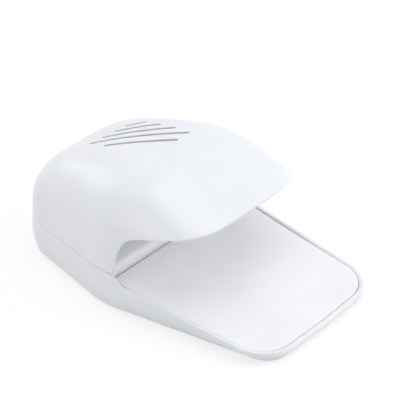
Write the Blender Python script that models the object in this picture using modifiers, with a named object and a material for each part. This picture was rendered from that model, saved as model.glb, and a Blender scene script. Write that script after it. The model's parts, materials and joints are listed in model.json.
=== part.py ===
# Mini nail lamp: a domed hood over a tapered tray, with a press plate that starts a fan and lamps.
# Metres, +Z up, the tray points along -Y, the origin is on the floor under the middle.
import math

import bmesh
import bpy
import numpy as np
from mathutils import Matrix, Vector

# Case seen from above
overall_length = 0.1411
front_bow = 0.0011
front_half_width = 0.0376
widest_half_width = 0.04474
back_half_width = 0.02759
widest_y = 0.0124
front_corner_radius = 0.0166
side_corner_radius = 0.0432
back_corner_radius = 0.0175

# Lower edge of the base, drawn in from the rim
bottom_front_half_width = 0.0326
bottom_front_inset = 0.0011
bottom_side_inset = 0.00235
bottom_back_inset = 0.00064
bottom_front_corner_radius = 0.0098
bottom_side_corner_radius = 0.0350
wall_bulge = 0.0009
bulge_height_share = 0.55

# Heights of the base
foot_proud = 0.0006
floor_thickness = 0.0016
base_wall = 0.0018
edge_round = 0.0007
crest_round = 0.0005
seam_height = 0.0190
seam_back_height = 0.01586
tray_rim_height = 0.01396
tray_front_height = 0.00509
rim_step_top_y = 0.00844
rim_step_length = 0.0080

# Hood
hood_wall = 0.0018
seam_gap = 0.0003
dome_height = 0.0375
dome_peak_y = -0.0021
dome_nose_y = -0.0641
dome_back_power = 2.93
dome_front_power = 1.342
section_width_power = 4.49
section_height_power = 2.70
lip_foot_y = 0.0051
lip_rise = 0.01726
lip_corner = 0.0026
lip_slope = 0.212
vent_left_x = -0.0103
vent_width = 0.0264
vent_front_y = 0.0134
vent_length = 0.0316
slot_width = 0.0018
vent_slot_shares = (
    (0.78, 0.94, 1.00, 0.78),
    (0.54, 0.96, 1.00, 0.53),
    (0.28, 0.99, 1.00, 0.27),
    (0.03, 1.02, 0.97, 0.01),
    (0.00, 0.75, 0.67, 0.00),
)

# Gaps between pieces
rest_gap = 0.0003
pin_gap = 0.00015
plate_gap = 0.00045
plate_draft = 0.0003
cover_gap = 0.0010
overrun = 0.0040
small_overrun = 0.0004

# Finger plate and its hinge
plate_thickness = 0.0016
plate_rear_y = 0.0065
plate_front_recess = 0.0001
plate_rear_height = 0.0150
plate_height_shares = ((0.0, 0.0), (0.25, 0.233), (0.50, 0.448), (0.75, 0.677), (0.90, 0.843), (1.0, 1.0))
plate_press_angle = math.radians(1.8)
plate_hinge_inset = 0.02255
plate_hinge_z = 0.0035
hinge_pin_radius = 0.0005
hinge_pin_length = 0.0076
hinge_lug_radius = 0.0010
hinge_lug_width = 0.0040
hinge_ear_width = 0.0014
hinge_ear_depth = 0.0026
hinge_ear_roof = 0.0004
hinge_x = 0.0200

# Return springs under the plate
return_spring_x = 0.0260
return_spring_y = -0.0040
return_spring_radius = 0.0030
return_wire_radius = 0.00035
return_spring_turns = 4
spring_peg_radius = 0.0018
spring_peg_height = 0.0022

# Switch under the plate
switch_y = -0.0030
switch_width = 0.0090
switch_depth = 0.0066
switch_height = 0.0055
plunger_radius = 0.0012
plunger_stand = 0.0024
plunger_depth = 0.0024
plunger_round = 0.0003
cradle_thickness = 0.0012
cradle_height = 0.0028

# Battery bay, two AA cells side by side
cell_radius = 0.00725
cell_length = 0.0495
cell_nub_radius = 0.00275
cell_nub_length = 0.0010
cell_edge_round = 0.0006
bay_pitch = 0.0151
bay_wall = 0.0012
bay_front_y = 0.0126
terminal_thickness = 0.0005
terminal_width = 0.0100
terminal_height = 0.0105
tab_width = 0.0030
tab_reach = 0.0032
contact_spring_length = 0.0048
contact_spring_radius = 0.0033
contact_wire_radius = 0.0004
contact_spring_turns = 3

# Battery door
door_side_margin = 0.0022
door_nose_radius = 0.0013
door_hinge_z = 0.0020
door_stub_radius = 0.0005
door_stub_reach = 0.0018
door_rear_margin = 0.0009
door_tongue_width = 0.0100
door_tongue_height = 0.0024
door_tongue_thickness = 0.0010
door_pivot_block = 0.0032
door_grip_depth = 0.0006

# Case posts and screws
front_post_share = 0.40
front_post_y = 0.0255
rear_post_x = 0.0190
rear_post_share = 0.475
hood_post_radius = 0.0025
base_post_radius = 0.0028
front_post_joint = 0.0140
rear_post_joint = 0.0120
case_screw_radius = 0.0011
case_screw_bite = 0.0080
case_screw_head_radius = 0.0021
case_screw_head = 0.0014
screw_recess = 0.0050

# Inner cover: ceiling, sloped outlet and deck
cover_thickness = 0.0012
ceiling_z = 0.0426
ceiling_front_y = -0.0295
slope_top_y = -0.0040
slope_foot_y = 0.0205
deck_front_gap = 0.0007
deck_corner = 0.0036
deck_corner_steps = 8
riser_bottom_z = 0.0135
cover_heel = 0.0018
grille_radius = 0.0118
grille_slot = 0.0024
grille_pitch = 0.0043
grille_slots = 5
cover_post_x = 0.0310
cover_post_y = -0.0140
cover_post_radius = 0.0024
small_screw_radius = 0.0008
small_screw_head_radius = 0.0016
small_screw_head = 0.0010
cover_screw_bite = 0.0024

# Fan, measured along its axis from the front face of the slope
impeller_start = 0.0030
impeller_depth = 0.0044
impeller_radius = 0.0112
hub_radius = 0.0042
blade_count = 5
blade_thickness = 0.0009
blade_chord_share = 1.0
blade_pitch_angle = math.radians(36.0)
shaft_radius = 0.00075
shaft_sink = 0.0020
bracket_start = 0.0084
bracket_thickness = 0.0014
bracket_post_x = 0.0152
bracket_post_radius = 0.0022
bracket_half_width = 0.0042
bracket_end_share = 0.7
bracket_hole_radius = 0.0015
bracket_collar = 0.0014
bracket_collar_height = 0.0034
motor_radius = 0.0060
motor_length = 0.0095
motor_edge_round = 0.0005
end_cap_thickness = 0.0011
end_cap_boss_radius = 0.0016
end_cap_boss_height = 0.0011
bracket_screw_bite = 0.0032

# LED board
board_half_width = 0.0260
board_front_y = -0.0225
board_depth = 0.0150
board_thickness = 0.0012
board_stand = 0.0016
board_post_x = 0.0140
board_post_y = -0.0105
board_post_radius = 0.0020
board_screw_bite = 0.0018
led_count = 4
led_pitch = 0.0140
led_y = -0.0175
led_radius = 0.0025
led_flange_radius = 0.0029
led_flange = 0.0010
led_body = 0.0030
led_hole_gap = 0.0002
chip_width = 0.0060
chip_depth = 0.0045
chip_height = 0.0014
resistor_width = 0.0030
resistor_depth = 0.0016
resistor_height = 0.0007

# Feet
foot_radius = 0.0036
foot_recess = 0.0005
foot_front_x = 0.0240
foot_front_inset = 0.02055
foot_rear_x = 0.0225
foot_rear_share = 0.24

# Leads
lead_radius = 0.0005
lead_lift = 0.0019
lead_climb = 0.0074
lead_bay_clear = 0.0048
lead_front_clear = 0.0096
lead_drop_share = 0.80
lead_spread_share = 1.3
lead_inner_share = 0.6
lead_roof_share = 0.97

# Mesh fineness
ring_steps = 38
step_steps = 7
dome_stations = 26
dome_section_steps = 24
arc_steps = 24
fine_steps = 200
round_sides = 24
small_sides = 12
helix_sides = 8
smooth_angle = math.radians(35.0)
ridge_bunching_power = 0.7
end_margin = 0.000015
weld_distance = 0.000003

# Colours
hood_white = (0.86, 0.87, 0.88)
base_white = (0.84, 0.85, 0.87)
plate_white = (0.88, 0.89, 0.90)
cover_white = (0.80, 0.81, 0.83)
black_plastic = (0.05, 0.05, 0.06)
cell_blue = (0.10, 0.22, 0.30)
plunger_red = (0.75, 0.10, 0.08)
steel = (0.60, 0.61, 0.63)
nickel = (0.72, 0.70, 0.66)
board_green = (0.05, 0.25, 0.12)
led_violet = (0.62, 0.55, 0.85)
foot_grey = (0.30, 0.30, 0.31)
lead_red = (0.60, 0.03, 0.03)
lead_black = (0.02, 0.02, 0.02)

# Sizes that follow from the ones above
front_tip_y = -overall_length / 2
back_y = overall_length / 2
floor_top = foot_proud + floor_thickness
cell_row = cell_length + cell_nub_length + contact_spring_length + 2 * terminal_thickness
bay_half_length = (cell_row + 5 * rest_gap) / 2
door_half_length = bay_half_length - door_side_margin
bay_outer_x = bay_half_length + bay_wall
front_post_x = bay_outer_x + (widest_half_width - base_wall - bay_outer_x) * front_post_share
foot_front_y = front_tip_y + foot_front_inset
plate_hinge_y = front_tip_y + plate_hinge_inset
bay_mid_y = bay_front_y + bay_pitch
bay_back_y = bay_front_y + 2 * bay_pitch
rear_post_y = bay_back_y + (back_y - bay_back_y) * rear_post_share
foot_rear_y = bay_back_y + (back_y - bay_back_y) * foot_rear_share
cell_z = floor_top + rest_gap + cell_radius
bay_ceiling_z = cell_z + cell_radius + rest_gap
bay_roof_z = bay_ceiling_z + bay_wall
deck_top_z = bay_roof_z + rest_gap + cover_thickness
deck_front_y = plate_rear_y + deck_front_gap
ceiling_top_z = ceiling_z + cover_thickness
slope_rise = ceiling_z - deck_top_z
slope_run = slope_foot_y - slope_top_y
fan_angle = math.atan2(slope_rise, slope_run)
fan_frame = Matrix.Translation((0, (slope_top_y + slope_foot_y) / 2, (ceiling_z + deck_top_z) / 2))
fan_frame = fan_frame @ Matrix.Rotation(-fan_angle, 4, "X")
motor_start = bracket_start + bracket_thickness + rest_gap
motor_end = motor_start + motor_length
door_hinge_y = bay_front_y + door_nose_radius + floor_thickness / 2
door_rear_y = bay_back_y - door_rear_margin
terminal_x = bay_half_length - rest_gap - terminal_thickness
plate_lever = switch_y - plate_hinge_y
plate_travel = plate_lever * math.sin(plate_press_angle)

collections = {}


# Scene set-up and small helpers
def clear_scene():
    for item in list(bpy.data.objects):
        bpy.data.objects.remove(item, do_unlink=True)
    for name in ("mini_nail_lamp", "cutters"):
        collections[name] = bpy.data.collections.new(name)
        bpy.context.scene.collection.children.link(collections[name])


def make_material(name, colour, roughness, metallic=0.0):
    material = bpy.data.materials.new(name)
    material.use_nodes = True
    shader = material.node_tree.nodes["Principled BSDF"]
    shader.inputs["Base Color"].default_value = (*colour, 1.0)
    shader.inputs["Roughness"].default_value = roughness
    shader.inputs["Metallic"].default_value = metallic
    return material


def finish(item, colour, roughness, metallic=0.0):
    item.data.materials.clear()
    item.data.materials.append(make_material(item.name + "_finish", colour, roughness, metallic))
    return item


def link(name, data, group="mini_nail_lamp"):
    item = bpy.data.objects.new(name, data)
    collections[group].objects.link(item)
    if group == "cutters":
        item.hide_render = True
        item.display_type = "WIRE"
    return item


def from_bmesh(name, shape, group="mini_nail_lamp"):
    bmesh.ops.recalc_face_normals(shape, faces=shape.faces)
    mesh = bpy.data.meshes.new(name)
    shape.to_mesh(mesh)
    shape.free()
    mesh.shade_smooth()
    mesh.set_sharp_from_angle(angle=smooth_angle)
    return link(name, mesh, group)


def add_box(shape, low, high, matrix=None):
    low = Vector(low)
    high = Vector(high)
    place = Matrix.Translation((low + high) / 2) @ Matrix.Diagonal((*(high - low), 1))
    bmesh.ops.create_cube(shape, size=1, matrix=(matrix or Matrix()) @ place)


def add_rod(shape, radius, start, end, sides=small_sides, matrix=None, end_radius=None):
    start = Vector(start)
    end = Vector(end)
    along = end - start
    turn = Vector((0, 0, 1)).rotation_difference(along).to_matrix().to_4x4()
    place = Matrix.Translation((start + end) / 2) @ turn
    bmesh.ops.create_cone(
        shape,
        cap_ends=True,
        segments=sides,
        radius1=radius,
        radius2=radius if end_radius is None else end_radius,
        depth=along.length,
        matrix=(matrix or Matrix()) @ place,
    )


def apply_boolean(item, other, operation):
    modifier = item.modifiers.new(operation.lower() + "_" + other.name, "BOOLEAN")
    modifier.operation = operation
    modifier.object = other
    modifier.solver = "EXACT"


def flat_piece(name, outline, low, high, group="mini_nail_lamp", side_view=False):
    curve = bpy.data.curves.new(name + "_outline", "CURVE")
    curve.dimensions = "2D"
    curve.fill_mode = "BOTH"
    curve.extrude = (high - low) / 2
    spline = curve.splines.new("POLY")
    spline.points.add(len(outline) - 1)
    for point, (across, up) in zip(spline.points, outline):
        point.co = (across, up, 0, 1)
    spline.use_cyclic_u = True
    item = link(name + "_curve", curve, "cutters")
    turn = Matrix(((0, 0, 1, 0), (1, 0, 0, 0), (0, 1, 0, 0), (0, 0, 0, 1))) if side_view else Matrix()
    middle = (low + high) / 2
    shift = Matrix.Translation((middle, 0, 0) if side_view else (0, 0, middle))
    graph = bpy.context.evaluated_depsgraph_get()
    mesh = bpy.data.meshes.new_from_object(item.evaluated_get(graph))
    bpy.data.objects.remove(item, do_unlink=True)
    shape = bmesh.new()
    shape.from_mesh(mesh)
    bpy.data.meshes.remove(mesh)
    bmesh.ops.remove_doubles(shape, verts=shape.verts, dist=weld_distance)
    bmesh.ops.transform(shape, matrix=shift @ turn, verts=shape.verts)
    return from_bmesh(name, shape, group)


def turned_piece(name, profile, sides=round_sides):
    mesh = bpy.data.meshes.new(name)
    points = [(radius, 0, height) for radius, height in profile]
    mesh.from_pydata(points, [(i, i + 1) for i in range(len(points) - 1)], [])
    item = link(name, mesh)
    screw = item.modifiers.new("turn", "SCREW")
    screw.axis = "Z"
    screw.steps = sides
    screw.render_steps = sides
    screw.use_merge_vertices = True
    screw.merge_threshold = weld_distance
    return item


def wire_piece(name, points, radius):
    curve = bpy.data.curves.new(name, "CURVE")
    curve.dimensions = "3D"
    curve.bevel_depth = radius
    curve.bevel_resolution = 2
    curve.use_fill_caps = True
    spline = curve.splines.new("POLY")
    spline.points.add(len(points) - 1)
    for point, place in zip(spline.points, points):
        point.co = (*place, 1)
    return link(name, curve)


def smooth_route(corners, count):
    steps = np.linspace(0, 1, len(corners))
    marks = np.linspace(0, 1, count)
    columns = []
    for column in np.array(corners).T:
        bend = np.gradient(column, steps)
        index = np.clip(np.searchsorted(steps, marks, side="right") - 1, 0, len(corners) - 2)
        span = steps[1] - steps[0]
        t = (marks - steps[index]) / span
        start = column[index] * (2 * t**3 - 3 * t**2 + 1) + bend[index] * span * (t**3 - 2 * t**2 + t)
        end = column[index + 1] * (3 * t**2 - 2 * t**3) + bend[index + 1] * span * (t**3 - t**2)
        columns.append(start + end)
    return np.column_stack(columns)


def helix(radius, low, high, turns):
    count = turns * helix_sides
    angles = np.linspace(0, 2 * math.pi * turns, count + 1)
    rise = np.linspace(low, high, count + 1)
    return np.column_stack([radius * np.cos(angles), radius * np.sin(angles), rise])


def parent_to_axis(name, place, pieces):
    axis = bpy.data.objects.new(name, None)
    collections["mini_nail_lamp"].objects.link(axis)
    axis.matrix_world = place
    for piece in pieces:
        piece.parent = axis
    return axis


def move_origin(item, point):
    item.data.transform(Matrix.Translation(-Vector(point)))
    item.location = point


# Outlines of the case
def rounded_path(corners, radii):
    corners = [Vector(corner) for corner in corners]
    points = [corners[0]]
    for index, radius in enumerate(radii, start=1):
        corner = corners[index]
        back = (corners[index - 1] - corner).normalized()
        ahead = (corners[index + 1] - corner).normalized()
        half_angle = back.angle(ahead) / 2
        centre = corner + (back + ahead).normalized() * radius / math.sin(half_angle)
        start = corner + back * radius / math.tan(half_angle) - centre
        end = corner + ahead * radius / math.tan(half_angle) - centre
        sweep = start.angle(end)
        for step in range(arc_steps + 1):
            share = step / arc_steps
            weight_start = math.sin((1 - share) * sweep) / math.sin(sweep)
            weight_end = math.sin(share * sweep) / math.sin(sweep)
            points.append(centre + start * weight_start + end * weight_end)
    points.append(corners[-1])
    return np.array([tuple(point) for point in points])


def case_outline(front_half, side_half, back_half, front, back, radii):
    side_corners = ((front_half, front + front_bow), (side_half, widest_y), (back_half, back))
    corners = ((0, front), *side_corners, (0, back))
    return rounded_path(corners, radii)


def rim_half():
    radii = (front_corner_radius, side_corner_radius, back_corner_radius)
    return case_outline(front_half_width, widest_half_width, back_half_width, front_tip_y, back_y, radii)


def bottom_half():
    radii = (bottom_front_corner_radius, bottom_side_corner_radius, back_corner_radius)
    return case_outline(
        bottom_front_half_width,
        widest_half_width - bottom_side_inset,
        back_half_width - bottom_back_inset,
        front_tip_y + bottom_front_inset,
        back_y - bottom_back_inset,
        radii,
    )


def distances(points):
    steps = np.linalg.norm(np.diff(points, axis=0), axis=1)
    return np.concatenate(([0.0], np.cumsum(steps)))


def at_shares(points, shares):
    along = distances(points)
    marks = np.array(shares) * along[-1]
    return np.column_stack([np.interp(marks, along, column) for column in points.T])


def spaced(points, count):
    return at_shares(np.array(points), np.linspace(0, 1, count))


def ring_shares():
    half = rim_half()
    along = distances(half) / distances(half)[-1]
    step_marks = np.linspace(rim_step_top_y - rim_step_length, rim_step_top_y, step_steps)
    extra = np.interp(step_marks, half[:, 1], along)
    even = np.linspace(0, 1, ring_steps)
    apart = [share for share in even if np.min(np.abs(extra - share)) > 1 / (4 * ring_steps)]
    return np.sort(np.concatenate([apart, extra]))


def full_ring(half):
    return np.vstack([half, (half * (-1, 1))[-2:0:-1]])


def inset(ring, distance):
    ahead = np.roll(ring, -1, axis=0) - np.roll(ring, 1, axis=0)
    inward = np.column_stack([-ahead[:, 1], ahead[:, 0]])
    inward /= np.linalg.norm(inward, axis=1)[:, None]
    return ring + inward * distance


def smooth_share(value):
    value = np.clip(value, 0, 1)
    return value * value * (3 - 2 * value)


def seam_z(y):
    share = np.clip((y - widest_y) / (back_y - widest_y), 0, 1)
    return seam_height + (seam_back_height - seam_height) * share


def rim_z(y):
    foot_y = rim_step_top_y - rim_step_length
    slope = (tray_rim_height - tray_front_height) / (foot_y - front_tip_y)
    tray = tray_rim_height + slope * (y - foot_y)
    share = smooth_share((rim_step_top_y - y) / rim_step_length)
    return seam_z(y) + (tray - seam_z(y)) * share


def half_width(y):
    half = rim_half()
    return np.interp(np.minimum(y, back_y - end_margin), half[:, 1], half[:, 0])


# Dome of the hood
def dome_rise(y):
    back = np.clip((y - dome_peak_y) / (back_y - dome_peak_y), 0, 1)
    front = np.clip((dome_peak_y - y) / (dome_peak_y - dome_nose_y), 0, 1)
    back_rise = (1 - back**dome_back_power) ** (1 / dome_back_power)
    front_rise = (1 - front**dome_front_power) ** (1 / dome_front_power)
    return dome_height * np.where(y >= dome_peak_y, back_rise, front_rise)


def lip_z(y):
    reach = lip_foot_y - y
    return seam_height + seam_gap + lip_rise * (1 - np.exp(-reach / lip_corner)) + lip_slope * reach


def dome_rows(offset, low_z, first_y):
    shrink = 1 - offset / dome_height
    back_shares = np.sin(np.linspace(0, math.pi / 2, fine_steps)) ** ridge_bunching_power
    ridge_y = np.concatenate([
        np.linspace(first_y, dome_peak_y, fine_steps),
        dome_peak_y + (back_y - dome_peak_y) * back_shares,
    ])
    ridge_y = np.clip(ridge_y, first_y, back_y)
    ridge = spaced(np.column_stack([ridge_y, dome_rise(ridge_y)]), dome_stations)
    angles = np.linspace(0, math.pi / 2, fine_steps)
    rows = []
    for y, rise in ridge:
        width = float(half_width(y)) - offset
        section = np.column_stack([
            width * np.cos(angles) ** (2 / section_width_power),
            rise * shrink * np.sin(angles) ** (2 / section_height_power),
        ])
        quarter = spaced(section, dome_section_steps // 2 + 1)
        arch = np.vstack([quarter, (quarter * (-1, 1))[-2::-1]])
        height = float(seam_z(y))
        y_in = min(y, back_y - offset)
        row = [(arch[0, 0], y_in, low_z)]
        row += [(x, y_in, height + z) for x, z in arch]
        row.append((arch[-1, 0], y_in, low_z))
        rows.append(row)
    rows.append([(x, y, low_z) for x, y, z in rows[-1]])
    return rows


def dome_shape(rows, closed):
    shape = bmesh.new()
    grid = [[shape.verts.new(point) for point in row] for row in rows]
    for row, following in zip(grid[:-1], grid[1:]):
        for index in range(len(row) - 1):
            shape.faces.new((row[index], following[index], following[index + 1], row[index + 1]))
    if closed:
        shape.faces.new(grid[0])
        outline = [row[0] for row in grid[:-1]] + grid[-1][1:-1] + [row[-1] for row in grid[-2::-1]]
        shape.faces.new(outline)
    bmesh.ops.remove_doubles(shape, verts=shape.verts, dist=weld_distance)
    bmesh.ops.dissolve_degenerate(shape, edges=shape.edges, dist=weld_distance)
    return shape


def dome_body(name, offset, low_z, first_y):
    return from_bmesh(name, dome_shape(dome_rows(offset, low_z, first_y), True), "cutters")


# Upper hood
def hood_edge_cutter():
    back_limit = back_y + overrun
    seam_line = [(y, float(seam_z(y)) + seam_gap) for y in (back_limit, back_y, widest_y)]
    lip_reach = lip_foot_y - dome_nose_y
    lip_line = [lip_foot_y - lip_reach * (step / arc_steps) ** 2 for step in range(arc_steps + 1)]
    outline = seam_line + [(y, float(lip_z(y))) for y in lip_line]
    outline += [(dome_nose_y, -overrun), (back_limit, -overrun)]
    reach = widest_half_width + overrun
    return flat_piece("hood_edge_cutter", outline, -reach, reach, "cutters", side_view=True)


def vent_cutter():
    shape = bmesh.new()
    for start_x, start_y, end_x, end_y in vent_slot_shares:
        start = Vector((vent_left_x + vent_width * start_x, vent_front_y + vent_length * start_y, 0))
        end = Vector((vent_left_x + vent_width * end_x, vent_front_y + vent_length * end_y, 0))
        turn = Matrix.Rotation(math.atan2(end.y - start.y, end.x - start.x), 4, "Z")
        place = Matrix.Translation((start + end) / 2) @ turn
        half = (end - start).length / 2
        bottom = seam_height + dome_height / 2
        top = seam_height + dome_height + overrun
        outline = []
        for side in (1, -1):
            for step in range(small_sides // 2 + 1):
                angle = math.pi * (step / (small_sides // 2) - 1 / 2)
                along = half + slot_width / 2 * math.cos(angle)
                outline.append((side * along, side * slot_width / 2 * math.sin(angle)))
        lower = [shape.verts.new(place @ Vector((x, y, bottom))) for x, y in outline]
        upper = [shape.verts.new(place @ Vector((x, y, top))) for x, y in outline]
        shape.faces.new(lower[::-1])
        shape.faces.new(upper)
        for index in range(len(outline)):
            following = (index + 1) % len(outline)
            shape.faces.new((lower[index], lower[following], upper[following], upper[index]))
    return from_bmesh("vent_cutter", shape, "cutters")


def post_places():
    places = []
    for side in (-1, 1):
        places.append((side * front_post_x, front_post_y, front_post_joint))
        places.append((side * rear_post_x, rear_post_y, rear_post_joint))
    return places


def build_hood():
    rows = dome_rows(0, 0, dome_nose_y + lip_rise)
    hood = from_bmesh("upper_hood", dome_shape(rows, False))
    solid = hood.modifiers.new("wall", "SOLIDIFY")
    solid.thickness = hood_wall
    solid.offset = -1
    apply_boolean(hood, hood_edge_cutter(), "DIFFERENCE")
    apply_boolean(hood, vent_cutter(), "DIFFERENCE")
    posts = bmesh.new()
    for x, y, joint in post_places():
        add_rod(posts, hood_post_radius, (x, y, joint), (x, y, seam_height + dome_height), round_sides)
    for side in (-1, 1):
        x = side * cover_post_x
        start = (x, cover_post_y, ceiling_top_z + rest_gap)
        add_rod(posts, cover_post_radius, start, (x, cover_post_y, seam_height + dome_height), round_sides)
    post_body = from_bmesh("hood_posts", posts, "cutters")
    low_z = rear_post_joint - overrun
    inner_dome = dome_body("hood_middle_skin", hood_wall / 2, low_z, dome_nose_y + lip_rise)
    apply_boolean(post_body, inner_dome, "INTERSECT")
    apply_boolean(hood, post_body, "UNION")
    bores = bmesh.new()
    for x, y, joint in post_places():
        top = joint + case_screw_bite + rest_gap
        add_rod(bores, case_screw_radius + pin_gap, (x, y, joint - overrun), (x, y, top), small_sides)
    for side in (-1, 1):
        x = side * cover_post_x
        top = ceiling_top_z + rest_gap + cover_screw_bite
        add_rod(bores, small_screw_radius + pin_gap, (x, cover_post_y, ceiling_z), (x, cover_post_y, top))
    apply_boolean(hood, from_bmesh("hood_bores", bores, "cutters"), "DIFFERENCE")
    return finish(hood, hood_white, 0.32)


# Lower base
def base_rings():
    shares = ring_shares()
    rim = full_ring(at_shares(rim_half(), shares))
    bottom = full_ring(at_shares(bottom_half(), shares))
    middle = inset(bottom * (1 - bulge_height_share) + rim * bulge_height_share, -wall_bulge)
    rim_heights = rim_z(rim[:, 1])
    low = np.full(len(rim), foot_proud)
    middle_heights = low + (rim_heights - low) * bulge_height_share
    return (
        (inset(bottom, edge_round), low),
        (bottom, low + edge_round),
        (middle, middle_heights),
        (rim, rim_heights - crest_round),
        (inset(rim, crest_round), rim_heights),
        (inset(rim, base_wall - crest_round), rim_heights),
        (inset(rim, base_wall), rim_heights - crest_round),
        (inset(bottom, base_wall), low + floor_thickness),
    )


def ring_body(name, layers, group="mini_nail_lamp"):
    shape = bmesh.new()
    rings = []
    for ring, heights in layers:
        rings.append([shape.verts.new((x, y, z)) for (x, y), z in zip(ring, heights)])
    shape.faces.new(rings[0][::-1])
    shape.faces.new(rings[-1])
    for lower, upper in zip(rings[:-1], rings[1:]):
        for index in range(len(lower)):
            following = (index + 1) % len(lower)
            shape.faces.new((lower[index], lower[following], upper[following], upper[index]))
    return from_bmesh(name, shape, group)


def base_additions():
    shape = bmesh.new()
    sunk = foot_proud + floor_thickness / 2
    high = (bay_outer_x, bay_back_y + bay_wall, bay_roof_z)
    add_box(shape, (-bay_outer_x, bay_front_y - bay_wall, sunk), high)
    for x, y, joint in post_places():
        add_rod(shape, base_post_radius, (x, y, sunk), (x, y, joint - rest_gap), round_sides)
    for side in (-1, 1):
        for edge in (-1, 1):
            ear_x = side * hinge_x + edge * (hinge_lug_width + hinge_ear_width + 2 * rest_gap) / 2
            low = (ear_x - hinge_ear_width / 2, plate_hinge_y - hinge_ear_depth / 2, sunk)
            ear_top = plate_hinge_z + hinge_pin_radius + pin_gap + hinge_ear_roof
            high = (ear_x + hinge_ear_width / 2, plate_hinge_y + hinge_ear_depth / 2, ear_top)
            add_box(shape, low, high)
        peg = (side * return_spring_x, return_spring_y)
        add_rod(shape, spring_peg_radius, (*peg, sunk), (*peg, floor_top + spring_peg_height))
        cradle_x = side * (switch_width / 2 + rest_gap)
        cradle = sorted((cradle_x, cradle_x + side * cradle_thickness))
        low = (cradle[0], switch_y - switch_depth / 2, sunk)
        add_box(shape, low, (cradle[1], switch_y + switch_depth / 2, floor_top + cradle_height))
    return from_bmesh("base_additions", shape, "cutters")


def bay_cutter():
    shape = bmesh.new()
    low = (-bay_half_length, bay_front_y, floor_top)
    add_box(shape, low, (bay_half_length, bay_back_y, bay_ceiling_z))
    return from_bmesh("bay_cutter", shape, "cutters")


def door_pivot_blocks():
    shape = bmesh.new()
    for side in (-1, 1):
        edge = sorted((side * (door_half_length + rest_gap), side * (bay_half_length + bay_wall / 2)))
        low = (edge[0], bay_front_y - bay_wall / 2, foot_proud + floor_thickness / 2)
        high = (edge[1], door_hinge_y + door_pivot_block / 2, door_hinge_z + door_pivot_block / 2)
        add_box(shape, low, high)
    return from_bmesh("door_pivot_blocks", shape, "cutters")


def foot_places():
    places = []
    for side in (-1, 1):
        places.append((side * foot_front_x, foot_front_y))
        places.append((side * foot_rear_x, foot_rear_y))
    return places


def base_cutters():
    shape = bmesh.new()
    opening_x = door_half_length + rest_gap
    for side in (-1, 1):
        inner = side * (opening_x - small_overrun)
        outer = side * (opening_x + door_stub_reach)
        bore = door_stub_radius + rest_gap
        add_rod(shape, bore, (outer, door_hinge_y, door_hinge_z), (inner, door_hinge_y, door_hinge_z))
        pin_half = hinge_pin_length / 2 + rest_gap
        start = (side * hinge_x - pin_half, plate_hinge_y, plate_hinge_z)
        end = (side * hinge_x + pin_half, plate_hinge_y, plate_hinge_z)
        add_rod(shape, hinge_pin_radius + pin_gap, start, end)
    for x, y, joint in post_places():
        seat = foot_proud + screw_recess
        add_rod(shape, case_screw_radius + rest_gap, (x, y, seat - overrun / 2), (x, y, joint + overrun))
    for x, y in foot_places():
        high = foot_proud + foot_recess
        add_rod(shape, foot_radius + rest_gap, (x, y, foot_proud - overrun), (x, y, high), round_sides)
    for y in (bay_mid_y - bay_pitch / 2, bay_mid_y + bay_pitch / 2):
        window = terminal_thickness / 2 + rest_gap
        low = (-bay_outer_x - overrun / 2, y - tab_width / 2 - rest_gap, cell_z - window)
        high = (-bay_half_length + overrun / 2, y + tab_width / 2 + rest_gap, cell_z + window)
        add_box(shape, low, high)
    return from_bmesh("base_cutters", shape, "cutters")


def door_opening_cutter():
    shape = bmesh.new()
    opening_x = door_half_length + rest_gap
    opening_front = door_hinge_y - door_nose_radius - 2 * rest_gap
    low = (-opening_x, opening_front, foot_proud - overrun)
    add_box(shape, low, (opening_x, door_rear_y + rest_gap, floor_top + overrun))
    return from_bmesh("door_opening_cutter", shape, "cutters")


def counterbore_cutter():
    shape = bmesh.new()
    for x, y, joint in post_places():
        radius = case_screw_head_radius + rest_gap
        add_rod(shape, radius, (x, y, foot_proud - overrun), (x, y, foot_proud + screw_recess), round_sides)
    return from_bmesh("counterbore_cutter", shape, "cutters")


def build_base():
    base = ring_body("lower_base", base_rings())
    apply_boolean(base, base_additions(), "UNION")
    apply_boolean(base, bay_cutter(), "DIFFERENCE")
    apply_boolean(base, door_pivot_blocks(), "UNION")
    apply_boolean(base, door_opening_cutter(), "DIFFERENCE")
    apply_boolean(base, base_cutters(), "DIFFERENCE")
    apply_boolean(base, counterbore_cutter(), "DIFFERENCE")
    return finish(base, base_white, 0.34)


# Finger plate
def plate_top_z(y):
    front = front_tip_y + base_wall
    low = tray_front_height - plate_front_recess
    shares = np.array(plate_height_shares)
    along = np.clip((y - front) / (plate_rear_y - front), 0, 1)
    return low + (plate_rear_height - low) * np.interp(along, shares[:, 0], shares[:, 1])


def plate_layers():
    shares = ring_shares()
    rim = full_ring(at_shares(rim_half(), shares))
    upper = inset(rim, base_wall + plate_gap)
    lower = inset(full_ring(at_shares(bottom_half(), shares)), base_wall + plate_gap + plate_draft)
    return (
        (lower, np.full(len(rim), floor_top)),
        (upper, rim_z(rim[:, 1]) - crest_round),
        (upper, np.full(len(rim), seam_height + overrun)),
    )


def hinge_lug(side):
    top_z = float(plate_top_z(plate_hinge_y)) - plate_thickness / 2
    outline = [(plate_hinge_y + hinge_lug_radius, top_z), (plate_hinge_y - hinge_lug_radius, top_z)]
    for step in range(small_sides + 1):
        angle = math.pi * (1 + step / small_sides)
        y = plate_hinge_y + hinge_lug_radius * math.cos(angle)
        outline.append((y, plate_hinge_z + hinge_lug_radius * math.sin(angle)))
    low = side * hinge_x - hinge_lug_width / 2
    name = "hinge_lug_left" if side < 0 else "hinge_lug_right"
    return flat_piece(name, outline, low, low + hinge_lug_width, "cutters", side_view=True)


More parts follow.
